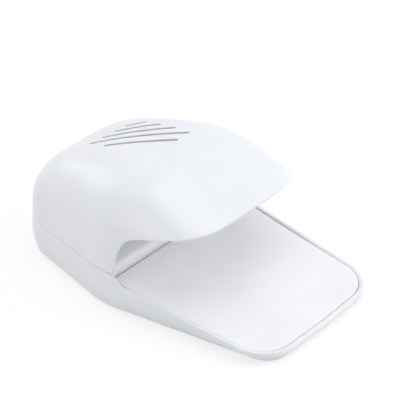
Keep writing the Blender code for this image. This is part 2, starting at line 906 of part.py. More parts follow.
def build_plate():
    plate = ring_body("finger_plate", plate_layers())
    marks = [front_tip_y + (plate_rear_y - front_tip_y) * step / arc_steps for step in range(arc_steps + 1)]
    top = [(y, float(plate_top_z(y))) for y in marks]
    bottom = [(y, z - plate_thickness) for y, z in reversed(top)]
    reach = widest_half_width
    slab = flat_piece("plate_slab", top + bottom, -reach, reach, "cutters", side_view=True)
    apply_boolean(plate, slab, "INTERSECT")
    for side in (-1, 1):
        apply_boolean(plate, hinge_lug(side), "UNION")
    plunger_top = floor_top + rest_gap + switch_height + plunger_stand
    pusher_top = float(plate_top_z(switch_y)) - plate_thickness / 2
    pusher = bmesh.new()
    low = (-plunger_radius, switch_y - plunger_radius, plunger_top + rest_gap)
    add_box(pusher, low, (plunger_radius, switch_y + plunger_radius, pusher_top))
    apply_boolean(plate, from_bmesh("plate_pusher", pusher, "cutters"), "UNION")
    bores = bmesh.new()
    for side in (-1, 1):
        low_x = side * hinge_x - hinge_lug_width
        high_x = side * hinge_x + hinge_lug_width
        pin = (plate_hinge_y, plate_hinge_z)
        add_rod(bores, hinge_pin_radius + pin_gap, (low_x, *pin), (high_x, *pin), small_sides)
    apply_boolean(plate, from_bmesh("plate_bores", bores, "cutters"), "DIFFERENCE")
    move_origin(plate, (0, plate_hinge_y, plate_hinge_z))
    return finish(plate, plate_white, 0.28)


def build_hinge_pins():
    for name, side in (("plate_hinge_pin_left", -1), ("plate_hinge_pin_right", 1)):
        shape = bmesh.new()
        add_rod(shape, hinge_pin_radius, (-hinge_pin_length / 2, 0, 0), (hinge_pin_length / 2, 0, 0))
        pin = from_bmesh(name, shape)
        pin.location = (side * hinge_x, plate_hinge_y, plate_hinge_z)
        finish(pin, steel, 0.25, 1.0)


def build_return_springs():
    low = floor_top + rest_gap + return_wire_radius
    high = float(plate_top_z(return_spring_y - return_spring_radius)) - plate_thickness
    high -= rest_gap + return_wire_radius
    for name, side in (("plate_spring_left", -1), ("plate_spring_right", 1)):
        route = helix(return_spring_radius, low, high, return_spring_turns)
        spring = wire_piece(name, route, return_wire_radius)
        spring.location = (side * return_spring_x, return_spring_y, 0)
        finish(spring, steel, 0.3, 1.0)


def build_switch():
    shape = bmesh.new()
    low_z = floor_top + rest_gap
    low = (-switch_width / 2, switch_y - switch_depth / 2, low_z)
    add_box(shape, low, (switch_width / 2, switch_y + switch_depth / 2, low_z + switch_height))
    body = from_bmesh("switch_body", shape)
    top_z = low_z + switch_height
    bore = bmesh.new()
    bottom = (0, switch_y, top_z - plunger_depth - plate_travel - rest_gap)
    add_rod(bore, plunger_radius + rest_gap, bottom, (0, switch_y, top_z + overrun), small_sides)
    apply_boolean(body, from_bmesh("switch_bore", bore, "cutters"), "DIFFERENCE")
    finish(body, black_plastic, 0.45)
    profile = (
        (0, plunger_stand),
        (plunger_radius - plunger_round, plunger_stand),
        (plunger_radius, plunger_stand - plunger_round),
        (plunger_radius, -plunger_depth),
        (0, -plunger_depth),
    )
    plunger = turned_piece("switch_plunger", profile, small_sides)
    plunger.location = (0, switch_y, top_z)
    finish(plunger, plunger_red, 0.4)


# Batteries and contacts
def cell_places():
    near = bay_mid_y - bay_pitch / 2
    far = bay_mid_y + bay_pitch / 2
    return (("battery_front", near, -1), ("battery_rear", far, 1))


def build_cells():
    half = terminal_x - rest_gap
    profile = (
        (0, cell_nub_length),
        (cell_nub_radius, cell_nub_length),
        (cell_nub_radius, 0),
        (cell_radius - cell_edge_round, 0),
        (cell_radius, -cell_edge_round),
        (cell_radius, cell_edge_round - cell_length),
        (cell_radius - cell_edge_round, -cell_length),
        (0, -cell_length),
    )
    for name, y, side in cell_places():
        cell = turned_piece(name, profile)
        cell.location = (side * (half - cell_nub_length), y, cell_z)
        cell.rotation_euler = (0, side * math.pi / 2, 0)
        finish(cell, cell_blue, 0.35)


def build_contact_springs():
    start = rest_gap + contact_wire_radius
    length = contact_spring_length - 2 * contact_wire_radius
    names = ("contact_spring_front", "contact_spring_rear")
    for name, (cell_name, y, side) in zip(names, cell_places()):
        route = helix(contact_spring_radius, 0, length, contact_spring_turns)
        spring = wire_piece(name, route, contact_wire_radius)
        spring.location = (-side * (terminal_x - start), y, cell_z)
        spring.rotation_euler = (0, side * math.pi / 2, 0)
        finish(spring, nickel, 0.3, 1.0)


def build_terminals():
    low_z = cell_z - terminal_height / 2
    high_z = cell_z + terminal_height / 2
    for name, (cell_name, y, side) in zip(("positive_terminal", "negative_terminal"), cell_places()):
        shape = bmesh.new()
        outer = -terminal_x - terminal_thickness
        low = (outer, y - terminal_width / 2, low_z)
        add_box(shape, low, (-terminal_x, y + terminal_width / 2, high_z))
        plate = from_bmesh(name, shape)
        tab = bmesh.new()
        half = terminal_thickness / 2
        low = (outer - tab_reach, y - tab_width / 2, cell_z - half)
        add_box(tab, low, (outer + half, y + tab_width / 2, cell_z + half))
        apply_boolean(plate, from_bmesh(name + "_tab", tab, "cutters"), "UNION")
        finish(plate, nickel, 0.28, 1.0)
    shape = bmesh.new()
    low_y = bay_mid_y - bay_pitch / 2 - terminal_width / 2
    high_y = bay_mid_y + bay_pitch / 2 + terminal_width / 2
    add_box(shape, (terminal_x, low_y, low_z), (terminal_x + terminal_thickness, high_y, high_z))
    finish(from_bmesh("series_link", shape), nickel, 0.28, 1.0)


def build_door():
    shape = bmesh.new()
    add_box(shape, (-door_half_length, door_hinge_y, foot_proud), (door_half_length, door_rear_y, floor_top))
    door = from_bmesh("battery_door", shape)
    extras = bmesh.new()
    axis = (door_hinge_y, door_hinge_z)
    add_rod(extras, door_nose_radius, (-door_half_length, *axis), (door_half_length, *axis), small_sides)
    tongue_high = (door_tongue_width / 2, door_rear_y - rest_gap, floor_top + door_tongue_height)
    tongue_y = door_rear_y - rest_gap - door_tongue_thickness
    add_box(extras, (-door_tongue_width / 2, tongue_y, floor_top - floor_thickness / 2), tongue_high)
    apply_boolean(door, from_bmesh("door_extras", extras, "cutters"), "UNION")
    stubs = bmesh.new()
    stub_half = door_half_length + door_stub_reach
    add_rod(stubs, door_stub_radius, (-stub_half, *axis), (stub_half, *axis), small_sides)
    apply_boolean(door, from_bmesh("door_stubs", stubs, "cutters"), "UNION")
    grip = bmesh.new()
    grip_y = door_rear_y - door_tongue_width / 2
    low = (-door_tongue_width, grip_y, foot_proud - overrun)
    add_box(grip, low, (door_tongue_width, grip_y + door_nose_radius, foot_proud + door_grip_depth))
    apply_boolean(door, from_bmesh("door_grip", grip, "cutters"), "DIFFERENCE")
    move_origin(door, (0, door_hinge_y, door_hinge_z))
    return finish(door, base_white, 0.4)


# Inner cover
def deck_arc(radius):
    """Points of the deck's rounded front corner, from its top down to the riser."""
    points = []
    for step in range(deck_corner_steps + 1):
        angle = math.pi / 2 * (1 + step / deck_corner_steps)
        y = deck_front_y + deck_corner + radius * math.cos(angle)
        points.append((y, deck_top_z - deck_corner + radius * math.sin(angle)))
    return points


def cover_profile():
    back = Vector((math.sin(fan_angle), math.cos(fan_angle))) * cover_thickness
    slope = slope_rise / slope_run
    heel_y = slope_foot_y + cover_heel
    heel_z = deck_top_z + back.y - (cover_heel - back.x) * slope
    top_y = slope_top_y + back.x - (cover_thickness - back.y) / slope
    under_z = deck_top_z - cover_thickness
    return [
        (ceiling_front_y, ceiling_z),
        (slope_top_y, ceiling_z),
        (slope_foot_y, deck_top_z),
        *deck_arc(deck_corner),
        (deck_front_y, riser_bottom_z),
        (deck_front_y + cover_thickness, riser_bottom_z),
        *deck_arc(deck_corner - cover_thickness)[::-1],
        (heel_y, under_z),
        (heel_y, heel_z),
        (top_y, ceiling_top_z),
        (ceiling_front_y, ceiling_top_z),
    ]


def led_places():
    first = -led_pitch * (led_count - 1) / 2
    return [first + led_pitch * index for index in range(led_count)]


def build_cover():
    reach = widest_half_width
    cover = flat_piece("inner_cover", cover_profile(), -reach, reach, side_view=True)
    limit = dome_body("cover_limit", hood_wall + cover_gap, riser_bottom_z - overrun, dome_nose_y + lip_rise)
    apply_boolean(cover, limit, "INTERSECT")
    posts = bmesh.new()
    sunk = cover_thickness / 2
    for side in (-1, 1):
        x = side * bracket_post_x
        top = bracket_start - rest_gap
        add_rod(posts, bracket_post_radius, (x, 0, sunk), (x, 0, top), small_sides, fan_frame)
        x = side * board_post_x
        foot = (x, board_post_y, ceiling_z + sunk)
        top = ceiling_top_z + board_stand - rest_gap
        add_rod(posts, board_post_radius, foot, (x, board_post_y, top), small_sides)
    apply_boolean(cover, from_bmesh("cover_posts", posts, "cutters"), "UNION")
    cuts = bmesh.new()
    for index in range(grille_slots):
        up = (index - (grille_slots - 1) / 2) * grille_pitch
        half = math.sqrt(grille_radius**2 - up**2)
        low = (-half, up - grille_slot / 2, -overrun)
        add_box(cuts, low, (half, up + grille_slot / 2, cover_thickness + small_overrun), fan_frame)
    for x in led_places():
        radius = led_radius + led_hole_gap
        low = (x, led_y, ceiling_z - overrun)
        add_rod(cuts, radius, low, (x, led_y, ceiling_top_z + overrun), round_sides)
    for side in (-1, 1):
        x = side * cover_post_x
        radius = small_screw_radius + rest_gap
        top = ceiling_top_z + overrun
        add_rod(cuts, radius, (x, cover_post_y, ceiling_z - overrun), (x, cover_post_y, top), small_sides)
        x = side * board_post_x
        radius = small_screw_radius + pin_gap
        top = ceiling_top_z + board_stand
        add_rod(cuts, radius, (x, board_post_y, top - board_screw_bite), (x, board_post_y, top + overrun))
        x = side * bracket_post_x
        start = (x, 0, bracket_start - bracket_screw_bite - rest_gap)
        add_rod(cuts, radius, start, (x, 0, bracket_start + overrun), small_sides, fan_frame)
    apply_boolean(cover, from_bmesh("cover_cuts", cuts, "cutters"), "DIFFERENCE")
    return finish(cover, cover_white, 0.35)


# Screws
def screw(name, radius, head_radius, head, length):
    # The seat of the head is at the origin and the tip points down.
    profile = (
        (0, head),
        (head_radius, head),
        (head_radius, 0),
        (radius, 0),
        (radius, -length),
        (0, -length),
    )
    return finish(turned_piece(name, profile, small_sides), steel, 0.3, 1.0)


def small_screw(name, length):
    return screw(name, small_screw_radius, small_screw_head_radius, small_screw_head, length)


def build_screws():
    seat = foot_proud + screw_recess - rest_gap
    for index, (x, y, joint) in enumerate(post_places(), start=1):
        length = joint + case_screw_bite - seat
        name = f"case_screw_{index}"
        item = screw(name, case_screw_radius, case_screw_head_radius, case_screw_head, length)
        item.location = (x, y, seat)
        item.rotation_euler = (math.pi, 0, 0)
    for name, side in (("left", -1), ("right", 1)):
        seat = ceiling_z - rest_gap
        item = small_screw("cover_screw_" + name, ceiling_top_z + cover_screw_bite - seat)
        item.location = (side * cover_post_x, cover_post_y, seat)
        item.rotation_euler = (math.pi, 0, 0)
        item = small_screw("board_screw_" + name, board_thickness + board_screw_bite)
        seat = ceiling_top_z + board_stand + board_thickness + rest_gap
        item.location = (side * board_post_x, board_post_y, seat)


# Fan
def build_fan():
    shape = bmesh.new()
    hub_end = impeller_start + impeller_depth
    add_rod(shape, hub_radius, (0, 0, impeller_start), (0, 0, hub_end), round_sides)
    impeller = from_bmesh("fan_impeller", shape)
    blades = bmesh.new()
    for index in range(blade_count):
        spin = Matrix.Rotation(2 * math.pi * index / blade_count, 4, "Z")
        pitch = Matrix.Rotation(blade_pitch_angle, 4, "X")
        place = spin @ Matrix.Translation((0, 0, impeller_start + impeller_depth / 2)) @ pitch
        half_chord = impeller_depth * blade_chord_share / 2
        low = (hub_radius - blade_thickness, -half_chord, -blade_thickness / 2)
        add_box(blades, low, (impeller_radius, half_chord, blade_thickness / 2), place)
    apply_boolean(impeller, from_bmesh("impeller_blades", blades, "cutters"), "UNION")
    bore = bmesh.new()
    start = (0, 0, impeller_start + shaft_sink - rest_gap)
    add_rod(bore, shaft_radius + pin_gap, start, (0, 0, hub_end + overrun), small_sides)
    bore_cutter = from_bmesh("impeller_bore", bore, "cutters")
    apply_boolean(impeller, bore_cutter, "DIFFERENCE")
    finish(impeller, cover_white, 0.35)
    shape = bmesh.new()
    shaft_end = motor_start + motor_length / 2
    add_rod(shape, shaft_radius, (0, 0, impeller_start + shaft_sink), (0, 0, shaft_end), small_sides)
    shaft = from_bmesh("fan_shaft", shape)
    finish(shaft, steel, 0.22, 1.0)
    profile = (
        (0, motor_end),
        (motor_radius - motor_edge_round, motor_end),
        (motor_radius, motor_end - motor_edge_round),
        (motor_radius, motor_start + motor_edge_round),
        (motor_radius - motor_edge_round, motor_start),
        (shaft_radius + rest_gap, motor_start),
        (shaft_radius + rest_gap, shaft_end + rest_gap),
        (0, shaft_end + rest_gap),
    )
    motor = turned_piece("fan_motor", profile)
    finish(motor, steel, 0.28, 1.0)
    cap_start = motor_end + rest_gap
    profile = (
        (0, cap_start + end_cap_thickness + end_cap_boss_height),
        (end_cap_boss_radius, cap_start + end_cap_thickness + end_cap_boss_height),
        (end_cap_boss_radius, cap_start + end_cap_thickness),
        (motor_radius - motor_edge_round, cap_start + end_cap_thickness),
        (motor_radius, cap_start + end_cap_thickness - motor_edge_round),
        (motor_radius, cap_start),
        (0, cap_start),
    )
    end_cap = turned_piece("motor_end_cap", profile)
    finish(end_cap, black_plastic, 0.5)
    bracket = build_bracket()
    screws = []
    for name, side in (("left", -1), ("right", 1)):
        item = small_screw("bracket_screw_" + name, bracket_thickness + bracket_screw_bite)
        item.location = (side * bracket_post_x, 0, bracket_start + bracket_thickness + rest_gap)
        screws.append(item)
    fixed = parent_to_axis("fan_mount", fan_frame, (motor, end_cap, bracket, impeller, shaft, *screws))
    for item in (bore_cutter, bpy.data.objects["impeller_blades"], *bracket_cutters()):
        item.parent = fixed
    return fixed


def bracket_cutters():
    return [bpy.data.objects[name] for name in ("bracket_collar", "bracket_bores", "bracket_shaft_hole")]


def build_bracket():
    outline = []
    for side in (1, -1):
        for step in range(small_sides // 2 + 1):
            angle = math.pi * (step / (small_sides // 2) - 1 / 2)
            x = side * (bracket_post_x + bracket_half_width * bracket_end_share * math.cos(angle))
            outline.append((x, side * bracket_half_width * math.sin(angle)))
    bracket = flat_piece("motor_bracket", outline, bracket_start, bracket_start + bracket_thickness)
    collar = bmesh.new()
    start = bracket_start + bracket_thickness / 2
    end = bracket_start + bracket_thickness + bracket_collar_height
    radius = motor_radius + rest_gap + bracket_collar
    add_rod(collar, radius, (0, 0, start), (0, 0, end), round_sides)
    apply_boolean(bracket, from_bmesh("bracket_collar", collar, "cutters"), "UNION")
    bores = bmesh.new()
    seat = bracket_start + bracket_thickness
    add_rod(bores, motor_radius + rest_gap, (0, 0, seat), (0, 0, end + overrun), round_sides)
    for side in (-1, 1):
        x = side * bracket_post_x
        radius = small_screw_radius + rest_gap
        add_rod(bores, radius, (x, 0, bracket_start - overrun), (x, 0, seat + overrun), small_sides)
    apply_boolean(bracket, from_bmesh("bracket_bores", bores, "cutters"), "DIFFERENCE")
    hole = bmesh.new()
    add_rod(hole, bracket_hole_radius, (0, 0, bracket_start - overrun), (0, 0, end), small_sides)
    apply_boolean(bracket, from_bmesh("bracket_shaft_hole", hole, "cutters"), "DIFFERENCE")
    return finish(bracket, cover_white, 0.4)


# LED board
def build_led_board():
    low_z = ceiling_top_z + board_stand
    shape = bmesh.new()
    low = (-board_half_width, board_front_y, low_z)
    add_box(shape, low, (board_half_width, board_front_y + board_depth, low_z + board_thickness))
    board = from_bmesh("led_board", shape)
    bores = bmesh.new()
    for side in (-1, 1):
        x = side * board_post_x
        radius = small_screw_radius + rest_gap
        add_rod(bores, radius, (x, board_post_y, low_z - overrun / 2), (x, board_post_y, low_z + overrun))
    apply_boolean(board, from_bmesh("board_bores", bores, "cutters"), "DIFFERENCE")
    finish(board, board_green, 0.45)
    rings = [(0, 0), (led_flange_radius, 0), (led_flange_radius, -led_flange), (led_radius, -led_flange)]
    steps = small_sides // 3
    for step in range(steps):
        angle = math.pi / 2 * step / steps
        rings.append((led_radius * math.cos(angle), -led_flange - led_body - led_radius * math.sin(angle)))
    rings.append((0, -led_flange - led_body - led_radius))
    for index, x in enumerate(led_places(), start=1):
        led = turned_piece(f"uv_led_{index}", rings, round_sides // 2)
        led.location = (x, led_y, low_z - rest_gap)
        finish(led, led_violet, 0.12)
    top = low_z + board_thickness + rest_gap
    mid_y = board_front_y + board_depth / 2
    chip = bmesh.new()
    low = (-chip_width / 2, mid_y - chip_depth / 2, top)
    add_box(chip, low, (chip_width / 2, mid_y + chip_depth / 2, top + chip_height))
    finish(from_bmesh("led_driver_chip", chip), black_plastic, 0.4)
    for name, side in (("left", -1), ("right", 1)):
        resistor = bmesh.new()
        x = side * (board_half_width - resistor_width)
        low = (x - resistor_width / 2, mid_y - resistor_depth / 2, top)
        high = (x + resistor_width / 2, mid_y + resistor_depth / 2, top + resistor_height)
        add_box(resistor, low, high)
        finish(from_bmesh("board_resistor_" + name, resistor), black_plastic, 0.4)


# Rubber feet
def build_feet():
    height = foot_proud + foot_recess - rest_gap
    for index, (x, y) in enumerate(foot_places(), start=1):
        shape = bmesh.new()
        add_rod(shape, foot_radius, (0, 0, 0), (0, 0, height), round_sides)
        foot = from_bmesh(f"rubber_foot_{index}", shape)
        foot.location = (x, y, 0)
        finish(foot, foot_grey, 0.8)


# Leads
def build_leads():
    tab_x = -terminal_x - terminal_thickness - tab_reach - rest_gap - lead_radius
    front_cell_y = bay_mid_y - bay_pitch / 2
    rear_cell_y = bay_mid_y + bay_pitch / 2
    corridor_x = (bay_outer_x + front_post_x - base_post_radius) / 2
    low_z = floor_top + 2 * lead_radius
    switch_side = switch_width / 2 + cradle_thickness + 2 * rest_gap + lead_radius
    switch_z = floor_top + cradle_height + 2 * lead_radius
    tail_y = switch_y + switch_depth / 2 + lead_radius + rest_gap
    red = [
        (tab_x, front_cell_y, cell_z),
        (tab_x - lead_radius, front_cell_y - bay_pitch / 3, cell_z * lead_drop_share),
        (-corridor_x, bay_front_y - lead_bay_clear, low_z + lead_lift),
        (-corridor_x * lead_inner_share, bay_front_y - lead_front_clear, low_z),
        (-switch_side * lead_spread_share, tail_y + lead_radius, low_z),
        (-switch_width / 4, tail_y, switch_z),
    ]
    finish(wire_piece("lead_cell_to_switch", smooth_route(red, 14), lead_radius), lead_red, 0.45)
    behind_cap = motor_end + end_cap_thickness + 2 * rest_gap + lead_radius
    motor_back = fan_frame @ Vector((0, -motor_radius / 2, behind_cap))
    brown = [
        (switch_width / 4, tail_y, switch_z),
        (switch_side * lead_spread_share, tail_y + lead_radius, low_z),
        (corridor_x * lead_inner_share, bay_front_y - lead_front_clear, low_z),
        (corridor_x, bay_front_y - bay_wall, low_z + lead_lift),
        (corridor_x, front_post_y, cell_z),
        (corridor_x * lead_roof_share, front_post_y + bay_pitch / 2, bay_roof_z + lead_radius),
        (corridor_x * lead_inner_share, front_post_y + bay_pitch * lead_inner_share, bay_roof_z + lead_climb),
        (motor_radius, motor_back.y + motor_radius, motor_back.z - motor_radius),
        (motor_radius / 2, motor_back.y + rest_gap, motor_back.z),
    ]
    finish(wire_piece("lead_switch_to_motor", smooth_route(brown, 22), lead_radius), lead_red, 0.45)
    black = [
        (tab_x, rear_cell_y, cell_z),
        (tab_x + lead_radius, rear_cell_y + bay_pitch / 5, cell_z + lead_lift),
        (tab_x + lead_radius, rear_cell_y + bay_pitch / 4, bay_roof_z + 2 * lead_radius),
        (-bay_half_length * lead_roof_share, rear_cell_y + bay_pitch / 4, bay_roof_z + lead_climb),
        (-corridor_x / 2, rear_cell_y + bay_pitch / 6, bay_roof_z + 2 * lead_climb),
        (-motor_radius, motor_back.y + motor_radius, motor_back.z - motor_radius),
        (-motor_radius / 2, motor_back.y + rest_gap, motor_back.z),
    ]
    finish(wire_piece("lead_cell_to_motor", smooth_route(black, 16), lead_radius), lead_black, 0.45)


def main():
    clear_scene()
    build_hood()
    build_base()
    build_plate()
    build_hinge_pins()
    build_return_springs()
    build_switch()
    build_cells()
    build_contact_springs()
    build_terminals()
    build_door()
    build_cover()
    build_screws()
    build_fan()
    build_led_board()
    build_feet()
    build_leads()


main()
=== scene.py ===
# Mini nail lamp: the dressed model, its studio and its camera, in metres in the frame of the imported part.
import json
import math

import bmesh
import bpy
import numpy as np
from mathutils import Matrix, Vector
from mathutils.geometry import delaunay_2d_cdt


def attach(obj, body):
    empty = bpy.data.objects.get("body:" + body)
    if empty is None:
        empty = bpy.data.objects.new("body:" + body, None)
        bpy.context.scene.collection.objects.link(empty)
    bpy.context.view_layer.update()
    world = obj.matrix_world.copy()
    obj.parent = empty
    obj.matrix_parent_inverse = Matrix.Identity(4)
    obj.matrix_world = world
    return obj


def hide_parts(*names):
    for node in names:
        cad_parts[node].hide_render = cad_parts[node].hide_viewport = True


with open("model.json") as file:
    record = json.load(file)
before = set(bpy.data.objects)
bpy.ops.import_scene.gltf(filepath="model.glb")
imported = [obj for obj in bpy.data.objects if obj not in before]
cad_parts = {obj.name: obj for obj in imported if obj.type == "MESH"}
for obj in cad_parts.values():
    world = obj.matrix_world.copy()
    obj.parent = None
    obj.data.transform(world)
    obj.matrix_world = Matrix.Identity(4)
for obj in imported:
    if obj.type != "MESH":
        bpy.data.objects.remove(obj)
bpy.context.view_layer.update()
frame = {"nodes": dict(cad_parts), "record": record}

nodes = frame["nodes"]

# Case seen from above, as in the part
overall_length = 0.1411
front_bow = 0.0011
front_half_width = 0.0376
widest_half_width = 0.04474
back_half_width = 0.02759
widest_y = 0.0124
front_corner_radius = 0.0166
side_corner_radius = 0.0432
back_corner_radius = 0.0175
bottom_front_half_width = 0.0326
bottom_front_inset = 0.0011
bottom_side_inset = 0.00235
bottom_back_inset = 0.00064
bottom_front_corner_radius = 0.0098
bottom_side_corner_radius = 0.0350
wall_bulge = 0.0009
bulge_height_share = 0.55

# Heights and walls
foot_proud = 0.0006
floor_thickness = 0.0016
base_wall = 0.0018
edge_round = 0.0007
crest_round = 0.0005
seam_height = 0.0190
seam_back_height = 0.01586
tray_rim_height = 0.01396
tray_front_height = 0.00509
rim_step_top_y = 0.00844
rim_step_length = 0.0080

# Hood
hood_wall = 0.0018
seam_gap = 0.0003
dome_height = 0.0375
dome_peak_y = -0.0021
dome_nose_y = -0.0641
dome_back_power = 2.93
dome_front_power = 1.342
section_width_power = 4.49
section_height_power = 2.70
lip_foot_y = 0.0051
lip_rise = 0.01726
lip_corner = 0.0026
lip_slope = 0.212
lip_round = 0.0005
vent_left_x = -0.0103
vent_width = 0.0264
vent_front_y = 0.0134
vent_length = 0.0316
slot_width = 0.0018
slot_flare = 0.0003
vent_slot_shares = (
    (0.78, 0.94, 1.00, 0.78),
    (0.54, 0.96, 1.00, 0.53),
    (0.28, 0.99, 1.00, 0.27),
    (0.03, 1.02, 0.97, 0.01),
    (0.00, 0.75, 0.67, 0.00),
)

# Gaps
rest_gap = 0.0003
pin_gap = 0.00015
plate_gap = 0.00045
plate_draft = 0.0003
overrun = 0.0040
small_overrun = 0.0004

# Finger plate, hinge, springs and switch
plate_thickness = 0.0016
plate_edge_round = 0.0004
plate_rear_y = 0.0065
plate_front_recess = 0.0001
plate_rear_height = 0.0150
plate_height_shares = ((0.0, 0.0), (0.25, 0.233), (0.50, 0.448), (0.75, 0.677), (0.90, 0.843), (1.0, 1.0))
plate_hinge_inset = 0.02255
plate_hinge_z = 0.0035
hinge_pin_radius = 0.0005
hinge_pin_length = 0.0076
hinge_lug_radius = 0.0010
hinge_lug_width = 0.0040
hinge_ear_width = 0.0014
hinge_ear_depth = 0.0026
hinge_ear_roof = 0.0004
hinge_x = 0.0200
return_spring_x = 0.0260
return_spring_y = -0.0040
spring_peg_radius = 0.0018
spring_peg_height = 0.0022
switch_y = -0.0030
switch_width = 0.0090
switch_depth = 0.0066
switch_height = 0.0055
plunger_radius = 0.0012
plunger_stand = 0.0024
cradle_thickness = 0.0012
cradle_height = 0.0028

# Battery bay and door
cell_radius = 0.00725
bay_pitch = 0.0151
bay_wall = 0.0012
bay_front_y = 0.0126
bay_half_length = 0.0289
terminal_thickness = 0.0005
tab_width = 0.0030
door_half_length = 0.0267
door_nose_radius = 0.0013
door_hinge_z = 0.0020
door_stub_radius = 0.0005
door_stub_reach = 0.0018
door_rear_margin = 0.0009
door_pivot_block = 0.0032

# Posts, screws and feet
front_post_share = 0.40
front_post_y = 0.0255
rear_post_x = 0.0190
rear_post_share = 0.475
hood_post_radius = 0.0025
base_post_radius = 0.0028
front_post_joint = 0.0140
rear_post_joint = 0.0120
case_screw_radius = 0.0011
case_screw_head_radius = 0.0021
screw_recess = 0.0050

# Inner cover
cover_thickness = 0.0012
cover_gap = 0.0010
cover_edge_round = 0.0003
ceiling_z = 0.0426
ceiling_front_y = -0.0295
slope_top_y = -0.0040
slope_foot_y = 0.0205
deck_front_gap = 0.0007
deck_corner = 0.0036
riser_bottom_z = 0.0135
cover_heel = 0.0018
grille_radius = 0.0118
grille_slot = 0.0024
grille_pitch = 0.0043
grille_slots = 5
led_count = 4
led_pitch = 0.0140
led_y = -0.0175
led_radius = 0.0025
led_hole_gap = 0.0002
bracket_post_x = 0.0152
bracket_post_radius = 0.0022
bracket_start = 0.0084
board_post_x = 0.0140
board_post_y = -0.0105
board_post_radius = 0.0020
board_stand = 0.0016
cover_post_x = 0.0310
cover_post_y = -0.0140
cover_post_radius = 0.0024
small_screw_radius = 0.0008
foot_radius = 0.0036
foot_recess = 0.0005
foot_front_x = 0.0240
foot_front_inset = 0.02055
foot_rear_x = 0.0225
foot_rear_share = 0.24

# Mesh fineness
ring_steps = 150
dome_rows_count = 120
dome_columns = 120
arc_steps = 40
fine_steps = 400
plate_loops = 16
round_steps = 4
wall_steps = 8
slot_steps = 40
cover_step = 0.0008
round_sides = 48
small_sides = 24
smooth_angle = math.radians(32.0)
ridge_bunching_power = 0.7
end_margin = 0.000015
weld_distance = 0.000003
plate_weld_distance = 0.00001
small_round = 0.00015
bisection_steps = 60
inside_only = 1
cap_tolerance = weld_distance / 10
rim_step_points = ring_steps // 8
least_step_share = 1 / (4 * ring_steps)
plate_blend_points = 401
plate_blend_span = 80
plate_corner_points = 4
plate_rear_points = 24
spine_start_radii = 1.5
post_depth_share = 0.75
lip_round_steps = 3
edge_round_steps = 2
sharp_edge_angle = math.radians(50.0)
cover_edge_angle = math.radians(60.0)

# Sizes that follow
flare_reach = 4 * slot_flare
flare_lift = 3 * slot_flare
front_tip_y = -overall_length / 2
back_y = overall_length / 2
floor_top = foot_proud + floor_thickness
bay_mid_y = bay_front_y + bay_pitch
bay_back_y = bay_front_y + 2 * bay_pitch
bay_outer_x = bay_half_length + bay_wall
front_post_x = bay_outer_x + (widest_half_width - base_wall - bay_outer_x) * front_post_share
rear_post_y = bay_back_y + (back_y - bay_back_y) * rear_post_share
foot_front_y = front_tip_y + foot_front_inset
foot_rear_y = bay_back_y + (back_y - bay_back_y) * foot_rear_share
plate_hinge_y = front_tip_y + plate_hinge_inset
cell_z = floor_top + rest_gap + cell_radius
bay_ceiling_z = cell_z + cell_radius + rest_gap
bay_roof_z = bay_ceiling_z + bay_wall
ceiling_top_z = ceiling_z + cover_thickness
deck_top_z = bay_roof_z + rest_gap + cover_thickness
deck_front_y = plate_rear_y + deck_front_gap
slope_rise = ceiling_z - deck_top_z
slope_run = slope_foot_y - slope_top_y
fan_angle = math.atan2(slope_rise, slope_run)
fan_frame = Matrix.Translation((0, (slope_top_y + slope_foot_y) / 2, (ceiling_z + deck_top_z) / 2))
fan_frame = fan_frame @ Matrix.Rotation(-fan_angle, 4, "X")
door_hinge_y = bay_front_y + door_nose_radius + floor_thickness / 2
door_rear_y = bay_back_y - door_rear_margin

# Studio
camera_target = (0.014846, 0.006665, 0.025798)
camera_back = (-0.66363, -0.53634, 0.52147)
camera_distance = 0.795469
camera_lens = 168.337
camera_sensor = 36.0
floor_size = 6.0
world_strength = 0.485
white_strength = 1.02
floor_drop = 0.00002
floor_bounce = 0.80
floor_seen = 0.30
floor_glow = 0.71
world_colour = (0.985, 0.99, 1.0, 1.0)
camera_near = 0.01
camera_far = 50.0
lamp_aim = (0.0, 0.0, 0.03)

# Each lamp's name, place, width and power
lamp_settings = (
    ("top_soft_box", (0.10, -0.10, 1.2), 1.0, 4.9),
    ("back_soft_box", (0.0, 1.1, 0.7), 0.7, 2.7),
    ("left_soft_box", (-1.1, 0.1, 0.5), 0.6, 2.6),
    ("front_soft_box", (0.8, -0.8, 0.5), 0.6, 6.4),
)

# CAD pieces that get a small round on their edges
rounded_nodes = (
    "battery_door",
    "led_board",
    "led_driver_chip",
    "switch_body",
    "motor_bracket",
    "motor_end_cap",
)
rounded_kinds = ("rubber_foot", "board_resistor")


# Mesh helpers
def link(name, data):
    item = bpy.data.objects.new(name, data)
    bpy.context.scene.collection.objects.link(item)
    return item


def from_bmesh(name, shape):
    bmesh.ops.recalc_face_normals(shape, faces=shape.faces)
    mesh = bpy.data.meshes.new(name)
    shape.to_mesh(mesh)
    shape.free()
    return link(name, mesh)


def settle(item):
    """Applies every modifier and keeps smooth shading up to the smooth angle."""
    graph = bpy.context.evaluated_depsgraph_get()
    mesh = bpy.data.meshes.new_from_object(item.evaluated_get(graph))
    item.modifiers.clear()
    old = item.data
    item.data = mesh
    bpy.data.meshes.remove(old)
    item.data.name = item.name
    item.data.shade_smooth()
    item.data.set_sharp_from_angle(angle=smooth_angle)
    return item


def combine(item, others, operation):
    for other in others:
        modifier = item.modifiers.new(operation.lower(), "BOOLEAN")
        modifier.operation = operation
        modifier.object = other
        modifier.solver = "EXACT"
    settle(item)
    for other in others:
        bpy.data.objects.remove(other, do_unlink=True)
    return item


def add_bevel(item, width, segments, angle):
    bevel = item.modifiers.new("bevel", "BEVEL")
    bevel.width = width
    bevel.segments = segments
    bevel.limit_method = "ANGLE"
    bevel.angle_limit = angle
    bevel.use_clamp_overlap = True
    return item


